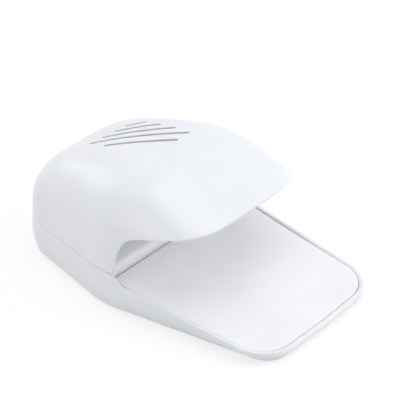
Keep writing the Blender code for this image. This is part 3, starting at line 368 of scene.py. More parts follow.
def add_box(shape, low, high):
    low = Vector(low)
    high = Vector(high)
    place = Matrix.Translation((low + high) / 2) @ Matrix.Diagonal((*(high - low), 1))
    bmesh.ops.create_cube(shape, size=1, matrix=place)


def add_rod(shape, radius, start, end, sides=small_sides):
    start = Vector(start)
    end = Vector(end)
    along = end - start
    turn = Vector((0, 0, 1)).rotation_difference(along).to_matrix().to_4x4()
    place = Matrix.Translation((start + end) / 2) @ turn
    bmesh.ops.create_cone(
        shape, cap_ends=True, segments=sides, radius1=radius, radius2=radius, depth=along.length, matrix=place
    )


def loft(shape, rings, cap_start=True, cap_end=True):
    layers = [[shape.verts.new(point) for point in ring] for ring in rings]
    for lower, upper in zip(layers[:-1], layers[1:]):
        for index in range(len(lower)):
            following = (index + 1) % len(lower)
            shape.faces.new((lower[index], lower[following], upper[following], upper[index]))
    if cap_start:
        shape.faces.new(layers[0][::-1])
    if cap_end:
        shape.faces.new(layers[-1])
    return layers


# Outlines of the case
def rounded_path(corners, radii):
    corners = [Vector(corner) for corner in corners]
    points = [corners[0]]
    for index, radius in enumerate(radii, start=1):
        corner = corners[index]
        back = (corners[index - 1] - corner).normalized()
        ahead = (corners[index + 1] - corner).normalized()
        half_angle = back.angle(ahead) / 2
        centre = corner + (back + ahead).normalized() * radius / math.sin(half_angle)
        start = corner + back * radius / math.tan(half_angle) - centre
        end = corner + ahead * radius / math.tan(half_angle) - centre
        sweep = start.angle(end)
        for step in range(arc_steps + 1):
            share = step / arc_steps
            weight_start = math.sin((1 - share) * sweep) / math.sin(sweep)
            weight_end = math.sin(share * sweep) / math.sin(sweep)
            points.append(centre + start * weight_start + end * weight_end)
    points.append(corners[-1])
    return np.array([tuple(point) for point in points])


def case_outline(front_half, side_half, back_half, front, back, radii):
    corners = (
        (0, front),
        (front_half, front + front_bow),
        (side_half, widest_y),
        (back_half, back),
        (0, back),
    )
    return rounded_path(corners, radii)


def rim_half():
    radii = (front_corner_radius, side_corner_radius, back_corner_radius)
    return case_outline(front_half_width, widest_half_width, back_half_width, front_tip_y, back_y, radii)


def bottom_half():
    radii = (bottom_front_corner_radius, bottom_side_corner_radius, back_corner_radius)
    return case_outline(
        bottom_front_half_width,
        widest_half_width - bottom_side_inset,
        back_half_width - bottom_back_inset,
        front_tip_y + bottom_front_inset,
        back_y - bottom_back_inset,
        radii,
    )


def distances(points):
    steps = np.linalg.norm(np.diff(points, axis=0), axis=1)
    return np.concatenate(([0.0], np.cumsum(steps)))


def at_shares(points, shares):
    along = distances(points)
    marks = np.array(shares) * along[-1]
    return np.column_stack([np.interp(marks, along, column) for column in points.T])


def spaced(points, count):
    return at_shares(np.array(points), np.linspace(0, 1, count))


def full_ring(half):
    return np.vstack([half, (half * (-1, 1))[-2:0:-1]])


def inset(ring, distance):
    ahead = np.roll(ring, -1, axis=0) - np.roll(ring, 1, axis=0)
    inward = np.column_stack([-ahead[:, 1], ahead[:, 0]])
    inward /= np.linalg.norm(inward, axis=1)[:, None]
    return ring + inward * distance


def smooth_share(value):
    value = np.clip(value, 0, 1)
    return value * value * (3 - 2 * value)


def seam_z(y):
    share = np.clip((y - widest_y) / (back_y - widest_y), 0, 1)
    return seam_height + (seam_back_height - seam_height) * share


def rim_z(y):
    foot_y = rim_step_top_y - rim_step_length
    slope = (tray_rim_height - tray_front_height) / (foot_y - front_tip_y)
    tray = tray_rim_height + slope * (y - foot_y)
    share = smooth_share((rim_step_top_y - y) / rim_step_length)
    return seam_z(y) + (tray - seam_z(y)) * share


rim_points = rim_half()


def half_width(y):
    return np.interp(np.minimum(y, back_y - end_margin), rim_points[:, 1], rim_points[:, 0])


# Dome of the hood
def dome_rise(y):
    back = np.clip((y - dome_peak_y) / (back_y - dome_peak_y), 0, 1)
    front = np.clip((dome_peak_y - y) / (dome_peak_y - dome_nose_y), 0, 1)
    back_rise = (1 - back**dome_back_power) ** (1 / dome_back_power)
    front_rise = (1 - front**dome_front_power) ** (1 / dome_front_power)
    return dome_height * np.where(y >= dome_peak_y, back_rise, front_rise)


def lip_z(y):
    reach = lip_foot_y - y
    return seam_height + seam_gap + lip_rise * (1 - np.exp(-reach / lip_corner)) + lip_slope * reach


def dome_z(x, y):
    """Height of the outer skin over a point of the plan."""
    share = np.clip(np.abs(x) / half_width(y), 0, 1)
    return seam_z(y) + dome_rise(y) * (1 - share**section_width_power) ** (1 / section_height_power)


def section_shares():
    """Width and height shares of the arch, evenly spaced on the arch at the dome's peak."""
    angles = np.linspace(0, math.pi / 2, fine_steps)
    across = np.cos(angles) ** (2 / section_width_power)
    up = np.sin(angles) ** (2 / section_height_power)
    widest = float(half_width(dome_peak_y))
    arch = spaced(np.column_stack([across * widest, up * dome_height]), dome_columns // 2 + 1)
    quarter = arch / (widest, dome_height)
    return np.vstack([quarter, (quarter * (-1, 1))[-2::-1]])


def skin_height(y, share):
    low = seam_z(y) + seam_gap
    return low + (dome_rise(y) - seam_gap) * share


def front_edge_y(share):
    low = dome_nose_y + rest_gap
    high = lip_foot_y
    for _ in range(bisection_steps):
        middle = (low + high) / 2
        if skin_height(middle, share) > lip_z(middle):
            high = middle
        else:
            low = middle
    return high


def hood_grid():
    front_y = np.linspace(dome_nose_y, dome_peak_y, fine_steps)
    back_shares = np.sin(np.linspace(0, math.pi / 2, fine_steps)) ** ridge_bunching_power
    ridge_y = np.concatenate([front_y, dome_peak_y + (back_y - dome_peak_y) * back_shares])
    ridge_y = np.maximum.accumulate(ridge_y)
    ridge_length = distances(np.column_stack([ridge_y, dome_rise(ridge_y)]))
    columns = []
    for across, up in section_shares():
        up = max(float(up), 0.0)
        start_y = front_edge_y(up)
        start = np.interp(start_y, ridge_y, ridge_length)
        marks = start + (ridge_length[-1] - start) * np.linspace(0, 1, dome_rows_count)
        y = np.interp(marks, ridge_length, ridge_y)
        y[0] = start_y
        width = half_width(y)
        columns.append(np.column_stack([width * across, y, skin_height(y, up)]))
    return columns


def slot_outline(half):
    """A rounded slot: how far along a point is, its reach past the end, and its side."""
    outline = []
    for side in (1, -1):
        for step in range(small_sides // 2 + 1):
            angle = math.pi * (step / (small_sides // 2) - 1 / 2)
            outline.append((side * half, side * math.cos(angle), side * math.sin(angle)))
        for step in range(1, slot_steps):
            outline.append((side * half * (1 - 2 * step / slot_steps), 0, side))
    return outline


def vent_cutters():
    cutters = []
    for index, (start_x, start_y, end_x, end_y) in enumerate(vent_slot_shares):
        start = Vector((vent_left_x + vent_width * start_x, vent_front_y + vent_length * start_y, 0))
        end = Vector((vent_left_x + vent_width * end_x, vent_front_y + vent_length * end_y, 0))
        turn = Matrix.Rotation(math.atan2(end.y - start.y, end.x - start.x), 4, "Z")
        place = Matrix.Translation((start + end) / 2) @ turn
        outline = slot_outline((end - start).length / 2)
        rings = []
        for wider, lift in ((0, -slot_flare), (slot_flare, 0), (flare_reach, flare_lift)):
            ring = []
            for along, cap, side in outline:
                reach = slot_width / 2 + wider
                point = place @ Vector((along + cap * reach, side * reach, 0))
                ring.append((point.x, point.y, float(dome_z(point.x, point.y)) + lift))
            rings.append(ring)
        low = min(z for x, y, z in rings[0]) - overrun
        high = max(z for x, y, z in rings[-1]) + overrun
        rings.insert(0, [(x, y, low) for x, y, z in rings[0]])
        rings.append([(x, y, high) for x, y, z in rings[-1]])
        shape = bmesh.new()
        loft(shape, rings)
        cutters.append(from_bmesh(f"vent_cutter_{index}", shape))
    return cutters


def post_places():
    places = []
    for side in (-1, 1):
        places.append((side * front_post_x, front_post_y, front_post_joint))
        places.append((side * rear_post_x, rear_post_y, rear_post_joint))
    return places


def make_hood():
    shape = bmesh.new()
    grid = [[shape.verts.new(point) for point in column] for column in hood_grid()]
    for column, following in zip(grid[:-1], grid[1:]):
        for index in range(len(column) - 1):
            shape.faces.new((column[index], column[index + 1], following[index + 1], following[index]))
    bmesh.ops.remove_doubles(shape, verts=shape.verts, dist=weld_distance)
    hood = from_bmesh("hood_shell", shape)
    if hood.data.polygons[len(hood.data.polygons) // 2].normal.z < 0:
        hood.data.flip_normals()
    solid = hood.modifiers.new("wall", "SOLIDIFY")
    solid.thickness = hood_wall
    solid.offset = -1
    solid.use_quality_normals = True
    add_bevel(hood, lip_round, lip_round_steps, sharp_edge_angle)
    settle(hood)
    combine(hood, vent_cutters(), "DIFFERENCE")
    return hood


def inner_z(x, y, depth):
    """Height of a skin that lies a depth inside the dome."""
    share = np.clip(np.abs(x) / (half_width(y) - depth), 0, 1)
    rise = dome_rise(y) * (1 - depth / dome_height)
    return seam_z(y) + rise * (1 - share**section_width_power) ** (1 / section_height_power)


def make_hood_posts():
    """Screw posts with a bore, each drawn up into the curved wall."""
    shape = bmesh.new()
    places = [(x, y, joint, hood_post_radius, case_screw_radius) for x, y, joint in post_places()]
    for side in (-1, 1):
        foot = ceiling_top_z + rest_gap
        places.append((side * cover_post_x, cover_post_y, foot, cover_post_radius, small_screw_radius))
    for x, y, foot, radius, bore in places:
        tip = foot + cover_thickness
        rings = []
        for ring_radius, height in ((bore, tip), (bore, foot), (radius, foot), (radius, None)):
            ring = []
            for step in range(small_sides):
                angle = 2 * math.pi * step / small_sides
                px = x + ring_radius * math.cos(angle)
                py = y + ring_radius * math.sin(angle)
                top = float(inner_z(px, py, hood_wall * post_depth_share))
                ring.append((px, py, max(top, tip) if height is None else height))
            rings.append(ring)
        loft(shape, rings)
    posts = from_bmesh("hood_posts", shape)
    return settle(posts)


# Lower base
def ring_shares():
    half = rim_points
    along = distances(half) / distances(half)[-1]
    foot = rim_step_top_y - rim_step_length
    step_marks = np.linspace(foot, rim_step_top_y, rim_step_points)
    side = (half[:, 0] > front_half_width) & (np.diff(half[:, 1], prepend=front_tip_y) > 0)
    extra = np.interp(step_marks, half[side][:, 1], along[side])
    even = np.linspace(0, 1, ring_steps)
    apart = [share for share in even if np.min(np.abs(extra - share)) > least_step_share]
    return np.sort(np.concatenate([apart, extra]))


def base_rings():
    shares = ring_shares()
    rim = full_ring(at_shares(rim_points, shares))
    bottom = full_ring(at_shares(bottom_half(), shares))
    heights = rim_z(rim[:, 1])
    low = np.full(len(rim), foot_proud)
    rings = []
    for step in range(round_steps + 1):
        angle = math.pi / 2 * step / round_steps
        ring = inset(bottom, edge_round * (1 - math.sin(angle)))
        rings.append((ring, low + edge_round * (1 - math.cos(angle))))
    wall_foot = low + edge_round
    wall_top = heights - crest_round
    for share in np.linspace(0, 1, wall_steps + 2)[1:-1]:
        span = bulge_height_share if share < bulge_height_share else 1 - bulge_height_share
        bulge = wall_bulge * (1 - ((share - bulge_height_share) / span) ** 2)
        ring = inset(bottom * (1 - share) + rim * share, -bulge)
        rings.append((ring, wall_foot + (wall_top - wall_foot) * share))
    for step in range(round_steps + 1):
        angle = math.pi / 2 * step / round_steps
        ring = inset(rim, crest_round * (1 - math.cos(angle)))
        rings.append((ring, wall_top + crest_round * math.sin(angle)))
    for step in range(round_steps + 1):
        angle = math.pi / 2 * step / round_steps
        ring = inset(rim, base_wall - crest_round + crest_round * math.sin(angle))
        rings.append((ring, heights - crest_round * (1 - math.cos(angle))))
    rings.append((inset(bottom, base_wall), low + floor_thickness))
    return [[(x, y, z) for (x, y), z in zip(ring, zs)] for ring, zs in rings]


def base_additions():
    shape = bmesh.new()
    sunk = foot_proud + floor_thickness / 2
    bay_low = (-bay_outer_x, bay_front_y - bay_wall, sunk)
    add_box(shape, bay_low, (bay_outer_x, bay_back_y + bay_wall, bay_roof_z))
    for x, y, joint in post_places():
        add_rod(shape, base_post_radius, (x, y, sunk), (x, y, joint - rest_gap), round_sides)
    for side in (-1, 1):
        for edge in (-1, 1):
            ear_x = side * hinge_x + edge * (hinge_lug_width + hinge_ear_width + 2 * rest_gap) / 2
            low = (ear_x - hinge_ear_width / 2, plate_hinge_y - hinge_ear_depth / 2, sunk)
            ear_top = plate_hinge_z + hinge_pin_radius + pin_gap + hinge_ear_roof
            high = (ear_x + hinge_ear_width / 2, plate_hinge_y + hinge_ear_depth / 2, ear_top)
            add_box(shape, low, high)
        peg = (side * return_spring_x, return_spring_y)
        add_rod(shape, spring_peg_radius, (*peg, sunk), (*peg, floor_top + spring_peg_height))
        cradle_x = side * (switch_width / 2 + rest_gap)
        cradle = sorted((cradle_x, cradle_x + side * cradle_thickness))
        low = (cradle[0], switch_y - switch_depth / 2, sunk)
        add_box(shape, low, (cradle[1], switch_y + switch_depth / 2, floor_top + cradle_height))
    return from_bmesh("base_additions", shape)


def bay_cutter():
    shape = bmesh.new()
    add_box(shape, (-bay_half_length, bay_front_y, floor_top), (bay_half_length, bay_back_y, bay_ceiling_z))
    return from_bmesh("bay_cutter", shape)


def door_pivot_blocks():
    shape = bmesh.new()
    for side in (-1, 1):
        edge = sorted((side * (door_half_length + rest_gap), side * (bay_half_length + bay_wall / 2)))
        low = (edge[0], bay_front_y - bay_wall / 2, foot_proud + floor_thickness / 2)
        high = (edge[1], door_hinge_y + door_pivot_block / 2, door_hinge_z + door_pivot_block / 2)
        add_box(shape, low, high)
    return from_bmesh("door_pivot_blocks", shape)


def foot_places():
    places = []
    for side in (-1, 1):
        places.append((side * foot_front_x, foot_front_y))
        places.append((side * foot_rear_x, foot_rear_y))
    return places


def base_cutters():
    shape = bmesh.new()
    opening_x = door_half_length + rest_gap
    for side in (-1, 1):
        inner = side * (opening_x - small_overrun)
        outer = side * (opening_x + door_stub_reach)
        bore = door_stub_radius + rest_gap
        add_rod(shape, bore, (outer, door_hinge_y, door_hinge_z), (inner, door_hinge_y, door_hinge_z))
        pin_half = hinge_pin_length / 2 + rest_gap
        start = (side * hinge_x - pin_half, plate_hinge_y, plate_hinge_z)
        end = (side * hinge_x + pin_half, plate_hinge_y, plate_hinge_z)
        add_rod(shape, hinge_pin_radius + pin_gap, start, end)
    for x, y, joint in post_places():
        seat = foot_proud + screw_recess
        add_rod(shape, case_screw_radius + rest_gap, (x, y, seat - overrun / 2), (x, y, joint + overrun))
    for x, y in foot_places():
        high = foot_proud + foot_recess
        add_rod(shape, foot_radius + rest_gap, (x, y, foot_proud - overrun), (x, y, high), round_sides)
    for y in (bay_mid_y - bay_pitch / 2, bay_mid_y + bay_pitch / 2):
        window = terminal_thickness / 2 + rest_gap
        low = (-bay_half_length - bay_wall - overrun / 2, y - tab_width / 2 - rest_gap, cell_z - window)
        high = (-bay_half_length + overrun / 2, y + tab_width / 2 + rest_gap, cell_z + window)
        add_box(shape, low, high)
    return from_bmesh("base_cutters", shape)


def door_opening_cutter():
    shape = bmesh.new()
    opening_x = door_half_length + rest_gap
    opening_front = door_hinge_y - door_nose_radius - 2 * rest_gap
    low = (-opening_x, opening_front, foot_proud - overrun)
    add_box(shape, low, (opening_x, door_rear_y + rest_gap, floor_top + overrun))
    return from_bmesh("door_opening_cutter", shape)


def counterbore_cutter():
    shape = bmesh.new()
    for x, y, joint in post_places():
        radius = case_screw_head_radius + rest_gap
        add_rod(shape, radius, (x, y, foot_proud - overrun), (x, y, foot_proud + screw_recess), round_sides)
    return from_bmesh("counterbore_cutter", shape)


def make_base():
    shape = bmesh.new()
    loft(shape, base_rings())
    base = from_bmesh("base_shell", shape)
    combine(base, [base_additions()], "UNION")
    combine(base, [bay_cutter()], "DIFFERENCE")
    combine(base, [door_pivot_blocks()], "UNION")
    combine(base, [door_opening_cutter(), base_cutters(), counterbore_cutter()], "DIFFERENCE")
    return base


# Finger plate
def plate_top_z(y):
    front = front_tip_y + base_wall
    low = tray_front_height - plate_front_recess
    shares = np.array(plate_height_shares)
    along = np.clip((y - front) / (plate_rear_y - front), 0, 1)
    fine = np.linspace(0, 1, plate_blend_points)
    rough = np.interp(fine, shares[:, 0], shares[:, 1])
    kernel = np.hanning(plate_blend_span + 1)
    before = 2 * rough[0] - rough[1 : plate_blend_span + 1][::-1]
    after = 2 * rough[-1] - rough[-plate_blend_span - 1 : -1][::-1]
    padded = np.concatenate([before, rough, after])
    soft = np.convolve(padded, kernel / kernel.sum(), mode="same")[plate_blend_span:-plate_blend_span]
    return low + (plate_rear_height - low) * np.interp(along, fine, soft)


def plate_loop(drop):
    """Plan of the plate's edge at a depth below its top, from the front round the right side and back."""
    shares = ring_shares()
    rim = at_shares(rim_points, shares)
    rim_ring = full_ring(rim)
    upper = inset(rim_ring, base_wall + plate_gap)[: len(rim)]
    lower_gap = base_wall + plate_gap + plate_draft
    lower = inset(full_ring(at_shares(bottom_half(), shares)), lower_gap)[: len(rim)]
    top_height = rim_z(rim[:, 1]) - crest_round
    level = plate_top_z(upper[:, 1]) - drop
    share = ((level - floor_top) / (top_height - floor_top))[:, None]
    edge = lower + (upper - lower) * share
    front = edge[edge[:, 1] < plate_rear_y - rest_gap]
    front = front[: np.argmax(front[:, 1]) + 1]
    near = edge[: len(front) + plate_corner_points]
    rear_x = np.interp(plate_rear_y, near[:, 1], near[:, 0])
    rear_x = np.linspace(rear_x, 0, plate_rear_points)
    rear = np.column_stack([rear_x, np.full(plate_rear_points, plate_rear_y)])
    return full_ring(np.vstack([front, rear]))


def make_plate():
    shape = bmesh.new()
    top_loop = plate_loop(0)
    bottom_loop = plate_loop(plate_thickness)
    spine_low = front_tip_y + spine_start_radii * front_corner_radius
    spine_high = plate_rear_y - front_corner_radius
    spine = np.column_stack([np.zeros(len(top_loop)), np.clip(top_loop[:, 1], spine_low, spine_high)])
    inward = inset(top_loop, 1) - top_loop

    def ring(loop, drop):
        return [(x, y, float(plate_top_z(y)) - drop) for x, y in loop]

    rings = []
    flat_edge = top_loop + inward * plate_edge_round
    for step in range(plate_loops):
        share = step / plate_loops
        rings.append(ring(spine + (flat_edge - spine) * share, 0))
    for step in range(round_steps + 1):
        angle = math.pi / 2 * step / round_steps
        loop = top_loop + inward * plate_edge_round * (1 - math.sin(angle))
        rings.append(ring(loop, plate_edge_round * (1 - math.cos(angle))))
    rings.append(ring(bottom_loop, plate_thickness))
    for step in range(plate_loops):
        share = 1 - (step + 1) / plate_loops
        rings.append(ring(spine + (bottom_loop - spine) * share, plate_thickness))
    loft(shape, rings, cap_start=False, cap_end=False)
    bmesh.ops.remove_doubles(shape, verts=shape.verts, dist=plate_weld_distance)
    bmesh.ops.dissolve_degenerate(shape, edges=shape.edges, dist=plate_weld_distance)
    for side in (-1, 1):
        low_x = side * hinge_x - hinge_lug_width / 2
        lug_top = float(plate_top_z(plate_hinge_y)) - plate_thickness / 2
        outline = [(plate_hinge_y + hinge_lug_radius, lug_top), (plate_hinge_y - hinge_lug_radius, lug_top)]
        for step in range(small_sides + 1):
            angle = math.pi * (1 + step / small_sides)
            outline.append((
                plate_hinge_y + hinge_lug_radius * math.cos(angle),
                plate_hinge_z + hinge_lug_radius * math.sin(angle),
            ))
        loft(shape, [[(x, y, z) for y, z in outline] for x in (low_x, low_x + hinge_lug_width)])
    plunger_top = floor_top + rest_gap + switch_height + plunger_stand
    low = (-plunger_radius, switch_y - plunger_radius, plunger_top + rest_gap)
    pusher_top = float(plate_top_z(switch_y)) - plate_thickness / 2
    add_box(shape, low, (plunger_radius, switch_y + plunger_radius, pusher_top))
    return settle(from_bmesh("press_plate", shape))


# Inner cover
def deck_arc(radius):
    """Points of the deck's rounded front corner, from its top down to the riser."""
    points = []
    for step in range(arc_steps + 1):
        angle = math.pi / 2 * (1 + step / arc_steps)
        y = deck_front_y + deck_corner + radius * math.cos(angle)
        points.append((y, deck_top_z - deck_corner + radius * math.sin(angle)))
    return points


def cover_profile():
    back = Vector((math.sin(fan_angle), math.cos(fan_angle))) * cover_thickness
    slope = slope_rise / slope_run
    heel_y = slope_foot_y + cover_heel
    heel_z = deck_top_z + back.y - (cover_heel - back.x) * slope
    top_y = slope_top_y + back.x - (cover_thickness - back.y) / slope
    return [
        (ceiling_front_y, ceiling_z),
        (slope_top_y, ceiling_z),
        (slope_foot_y, deck_top_z),
        *deck_arc(deck_corner),
        (deck_front_y, riser_bottom_z),
        (deck_front_y + cover_thickness, riser_bottom_z),
        *deck_arc(deck_corner - cover_thickness)[::-1],
        (heel_y, deck_top_z - cover_thickness),
        (heel_y, heel_z),
        (top_y, ceiling_top_z),
        (ceiling_front_y, ceiling_top_z),
    ]


def cover_reach(y, z):
    """Half width of the space under the hood's skin at a point of the cover's side view."""
    depth = hood_wall + cover_gap
    rise = np.maximum(dome_rise(y) * (1 - depth / dome_height), end_margin)
    share = np.clip((z - seam_z(y)) / rise, 0, 1)
    return (half_width(y) - depth) * (1 - share**section_height_power) ** (1 / section_width_power)


def cover_outline():
    """The profile, closed and cut into short steps."""
    profile = np.array(cover_profile())
    points = []
    for start, end in zip(profile, np.roll(profile, -1, axis=0)):
        count = max(1, int(np.linalg.norm(end - start) / cover_step))
        for step in range(count):
            points.append(start + (end - start) * step / count)
    return np.array(points)


def cover_posts():
    """Posts that carry the fan's bracket and the LED board."""
    shape = bmesh.new()
    sunk = cover_thickness / 2
    for side in (-1, 1):
        start = fan_frame @ Vector((side * bracket_post_x, 0, sunk))
        end = fan_frame @ Vector((side * bracket_post_x, 0, bracket_start - rest_gap))
        add_rod(shape, bracket_post_radius, start, end)
        place = (side * board_post_x, board_post_y)
        top = ceiling_top_z + board_stand - rest_gap
        add_rod(shape, board_post_radius, (*place, ceiling_z + sunk), (*place, top))
    return from_bmesh("cover_posts", shape)


def grille_cutters():
    """Slots of the air outlet, with rounded ends and a bevel on the side over the fingers."""
    levels = (
        (cover_edge_round, -overrun),
        (cover_edge_round, 0),
        (0, cover_edge_round),
        (0, 2 * cover_thickness),
    )
    cutters = []
    for index in range(grille_slots):
        up = (index - (grille_slots - 1) / 2) * grille_pitch
        half = math.sqrt(grille_radius**2 - up**2) - grille_slot / 2
        rings = []
        for wider, level in levels:
            ring = []
            for along, cap, side in slot_outline(half):
                reach = grille_slot / 2 + wider
                ring.append(fan_frame @ Vector((along + cap * reach, up + side * reach, level)))
            rings.append(ring)
        shape = bmesh.new()
        loft(shape, rings)
        cutters.append(from_bmesh(f"grille_cutter_{index}", shape))
    return cutters


def cover_hole_cutter():
    """Holes for the LEDs and for the cover's screws."""
    shape = bmesh.new()
    low = ceiling_z - overrun
    high = ceiling_top_z + overrun
    for index in range(led_count):
        x = led_pitch * (index - (led_count - 1) / 2)
        add_rod(shape, led_radius + led_hole_gap, (x, led_y, low), (x, led_y, high), round_sides)
    for side in (-1, 1):
        x = side * cover_post_x
        add_rod(shape, small_screw_radius + rest_gap, (x, cover_post_y, low), (x, cover_post_y, high))
    return from_bmesh("cover_holes", shape)


def make_cover():
    """The folded cover, whose sides follow the dome. Its ends are cut into triangles while still flat."""
    outline = cover_outline()
    reach = cover_reach(outline[:, 0], outline[:, 1])
    shape = bmesh.new()
    sides = []
    for side in (-1, 1):
        sides.append([(side * x, y, z) for x, (y, z) in zip(reach, outline)])
    layers = loft(shape, sides, cap_start=False, cap_end=False)
    points = [Vector(point) for point in outline]
    filled = delaunay_2d_cdt(points, [], [list(range(len(points)))], inside_only, cap_tolerance)
    triangles, sources = filled[2:4]
    for layer in layers:
        for corners in triangles:
            shape.faces.new([layer[sources[corner][0]] for corner in corners])
    cover = from_bmesh("cover_shell", shape)
    combine(cover, [cover_posts()], "UNION")
    combine(cover, [*grille_cutters(), cover_hole_cutter()], "DIFFERENCE")
    add_bevel(cover, cover_edge_round, edge_round_steps, cover_edge_angle)
    return settle(cover)


# Materials
def new_material(name):
    material = bpy.data.materials.new(name)
    material.use_nodes = True
    tree = material.node_tree
    shader = tree.nodes["Principled BSDF"]
    place = tree.nodes.new("ShaderNodeTexCoord")
    return material, tree, shader, place.outputs["Object"]


def noise(tree, place, scale, detail=3.0, roughness=0.5, stretch=None):
    node = tree.nodes.new("ShaderNodeTexNoise")
    node.inputs["Scale"].default_value = scale
    node.inputs["Detail"].default_value = detail
    node.inputs["Roughness"].default_value = roughness
    if stretch:
        mapping = tree.nodes.new("ShaderNodeMapping")
        mapping.inputs["Scale"].default_value = stretch
        tree.links.new(place, mapping.inputs["Vector"])
        place = mapping.outputs["Vector"]
    tree.links.new(place, node.inputs["Vector"])
    return node.outputs["Fac"]


def span(tree, value, low, high, from_low=0.3, from_high=0.7):
    node = tree.nodes.new("ShaderNodeMapRange")
    node.inputs["From Min"].default_value = from_low
    node.inputs["From Max"].default_value = from_high
    node.inputs["To Min"].default_value = low
    node.inputs["To Max"].default_value = high
    tree.links.new(value, node.inputs["Value"])
    return node.outputs["Result"]


def ramp(tree, value, first, second, low=0.35, high=0.65):
    node = tree.nodes.new("ShaderNodeValToRGB")
    node.color_ramp.elements[0].position = low
    node.color_ramp.elements[0].color = (*first, 1)
    node.color_ramp.elements[1].position = high
    node.color_ramp.elements[1].color = (*second, 1)
    tree.links.new(value, node.inputs["Fac"])
    return node.outputs["Color"]


def bump(tree, shader, height, strength, distance, onto=None):
    node = tree.nodes.new("ShaderNodeBump")
    node.inputs["Strength"].default_value = strength
    node.inputs["Distance"].default_value = distance
    tree.links.new(height, node.inputs["Height"])
    if onto:
        tree.links.new(onto, node.inputs["Normal"])
    tree.links.new(node.outputs["Normal"], shader.inputs["Normal"])
    return node.outputs["Normal"]


def shade(colour, factor):
    return tuple(min(1.0, channel * factor) for channel in colour)


def tint(tree, shader, value, colour, low_share, high_share):
    """Base colour that moves between two shares of the given one."""
    mixed = ramp(tree, value, shade(colour, low_share), shade(colour, high_share))
    tree.links.new(mixed, shader.inputs["Base Color"])


def plastic(name, colour, roughness, grain=2600.0, grain_strength=0.12, coat=0.0):
    """Moulded plastic: faint cloudiness in the colour, a soft waviness, and a fine eroded grain."""
    material, tree, shader, place = new_material(name)
    cloud = noise(tree, place, scale=55.0, detail=4.0)
    tint(tree, shader, cloud, colour, low_share=0.975, high_share=1.01)
    patch = noise(tree, place, scale=210.0, detail=5.0, roughness=0.6)
    tree.links.new(span(tree, patch, low=roughness - 0.035, high=roughness + 0.04), shader.inputs["Roughness"])
    swell = noise(tree, place, scale=120.0, detail=2.0)
    wave = bump(tree, shader, swell, strength=0.10, distance=0.0002)
    eroded = noise(tree, place, scale=grain, detail=2.0)
    bump(tree, shader, eroded, strength=grain_strength, distance=0.00003, onto=wave)
    shader.inputs["Coat Weight"].default_value = coat
    shader.inputs["Coat Roughness"].default_value = 0.12
    return material


def metal(name, colour, roughness):
    """Worked metal: drawn streaks in roughness and height, and a slight change of tone."""
    material, tree, shader, place = new_material(name)
    streak = noise(tree, place, scale=400.0, detail=4.0, roughness=0.6, stretch=(1.0, 1.0, 30.0))
    tint(tree, shader, streak, colour, low_share=0.86, high_share=1.08)
    tree.links.new(span(tree, streak, low=roughness - 0.08, high=roughness + 0.12), shader.inputs["Roughness"])
    bump(tree, shader, streak, strength=0.15, distance=0.00002)
    shader.inputs["Metallic"].default_value = 1.0
    return material


def rubber(name, colour):
    """Matt rubber with a coarse speckle."""
    material, tree, shader, place = new_material(name)
    speck = noise(tree, place, scale=900.0, detail=6.0, roughness=0.7)
    tint(tree, shader, speck, colour, low_share=0.8, high_share=1.2)
    tree.links.new(span(tree, speck, low=0.7, high=0.92), shader.inputs["Roughness"])
    bump(tree, shader, speck, strength=0.3, distance=0.00006)
    return material


def lens(name, colour):
    """Clear moulded resin with a slight haze."""
    material, tree, shader, place = new_material(name)
    haze = noise(tree, place, scale=700.0, detail=3.0)
    tint(tree, shader, haze, colour, low_share=0.92, high_share=1.05)
    tree.links.new(span(tree, haze, low=0.05, high=0.12), shader.inputs["Roughness"])
    shader.inputs["Transmission Weight"].default_value = 0.75
    shader.inputs["IOR"].default_value = 1.5
    bump(tree, shader, haze, strength=0.05, distance=0.00002)
    return material


def board(name, colour):
    """Circuit board lacquer over a woven cloth."""
    material, tree, shader, place = new_material(name)
    wave = tree.nodes.new("ShaderNodeTexWave")
    wave.inputs["Scale"].default_value = 900.0
    wave.inputs["Distortion"].default_value = 1.5
    tree.links.new(place, wave.inputs["Vector"])
    weave = wave.outputs["Fac"]
    tint(tree, shader, weave, colour, low_share=0.85, high_share=1.12)
    sheen = span(tree, weave, low=0.38, high=0.5, from_low=0, from_high=1)
    tree.links.new(sheen, shader.inputs["Roughness"])
    bump(tree, shader, weave, strength=0.1, distance=0.00002)
    return material


def make_smoothing():
    """A modifier's nodes that weld a mesh and shade it smooth up to the smooth angle."""
    tree = bpy.data.node_groups.new("smooth_shading", "GeometryNodeTree")
    tree.interface.new_socket("Geometry", in_out="INPUT", socket_type="NodeSocketGeometry")
    tree.interface.new_socket("Geometry", in_out="OUTPUT", socket_type="NodeSocketGeometry")
    entry = tree.nodes.new("NodeGroupInput")
    leave = tree.nodes.new("NodeGroupOutput")
    weld = tree.nodes.new("GeometryNodeMergeByDistance")
    weld.inputs["Distance"].default_value = weld_distance
    smooth = tree.nodes.new("GeometryNodeSetShadeSmooth")
    smooth.domain = "FACE"
    sharp = tree.nodes.new("GeometryNodeSetShadeSmooth")
    sharp.domain = "EDGE"
    sharp.inputs["Shade Smooth"].default_value = False
    angle = tree.nodes.new("GeometryNodeInputMeshEdgeAngle")
    steep = tree.nodes.new("FunctionNodeCompare")
    steep.operation = "GREATER_THAN"
    steep.inputs[1].default_value = smooth_angle
    tree.links.new(entry.outputs[0], weld.inputs["Geometry"])
    tree.links.new(weld.outputs["Geometry"], smooth.inputs["Geometry"])
    tree.links.new(smooth.outputs["Geometry"], sharp.inputs["Geometry"])
    tree.links.new(angle.outputs["Unsigned Angle"], steep.inputs[0])
    tree.links.new(steep.outputs["Result"], sharp.inputs["Selection"])
    tree.links.new(sharp.outputs["Geometry"], leave.inputs[0])
    return tree


def paint(item, material):
    item.data.materials.clear()
    item.data.materials.append(material)


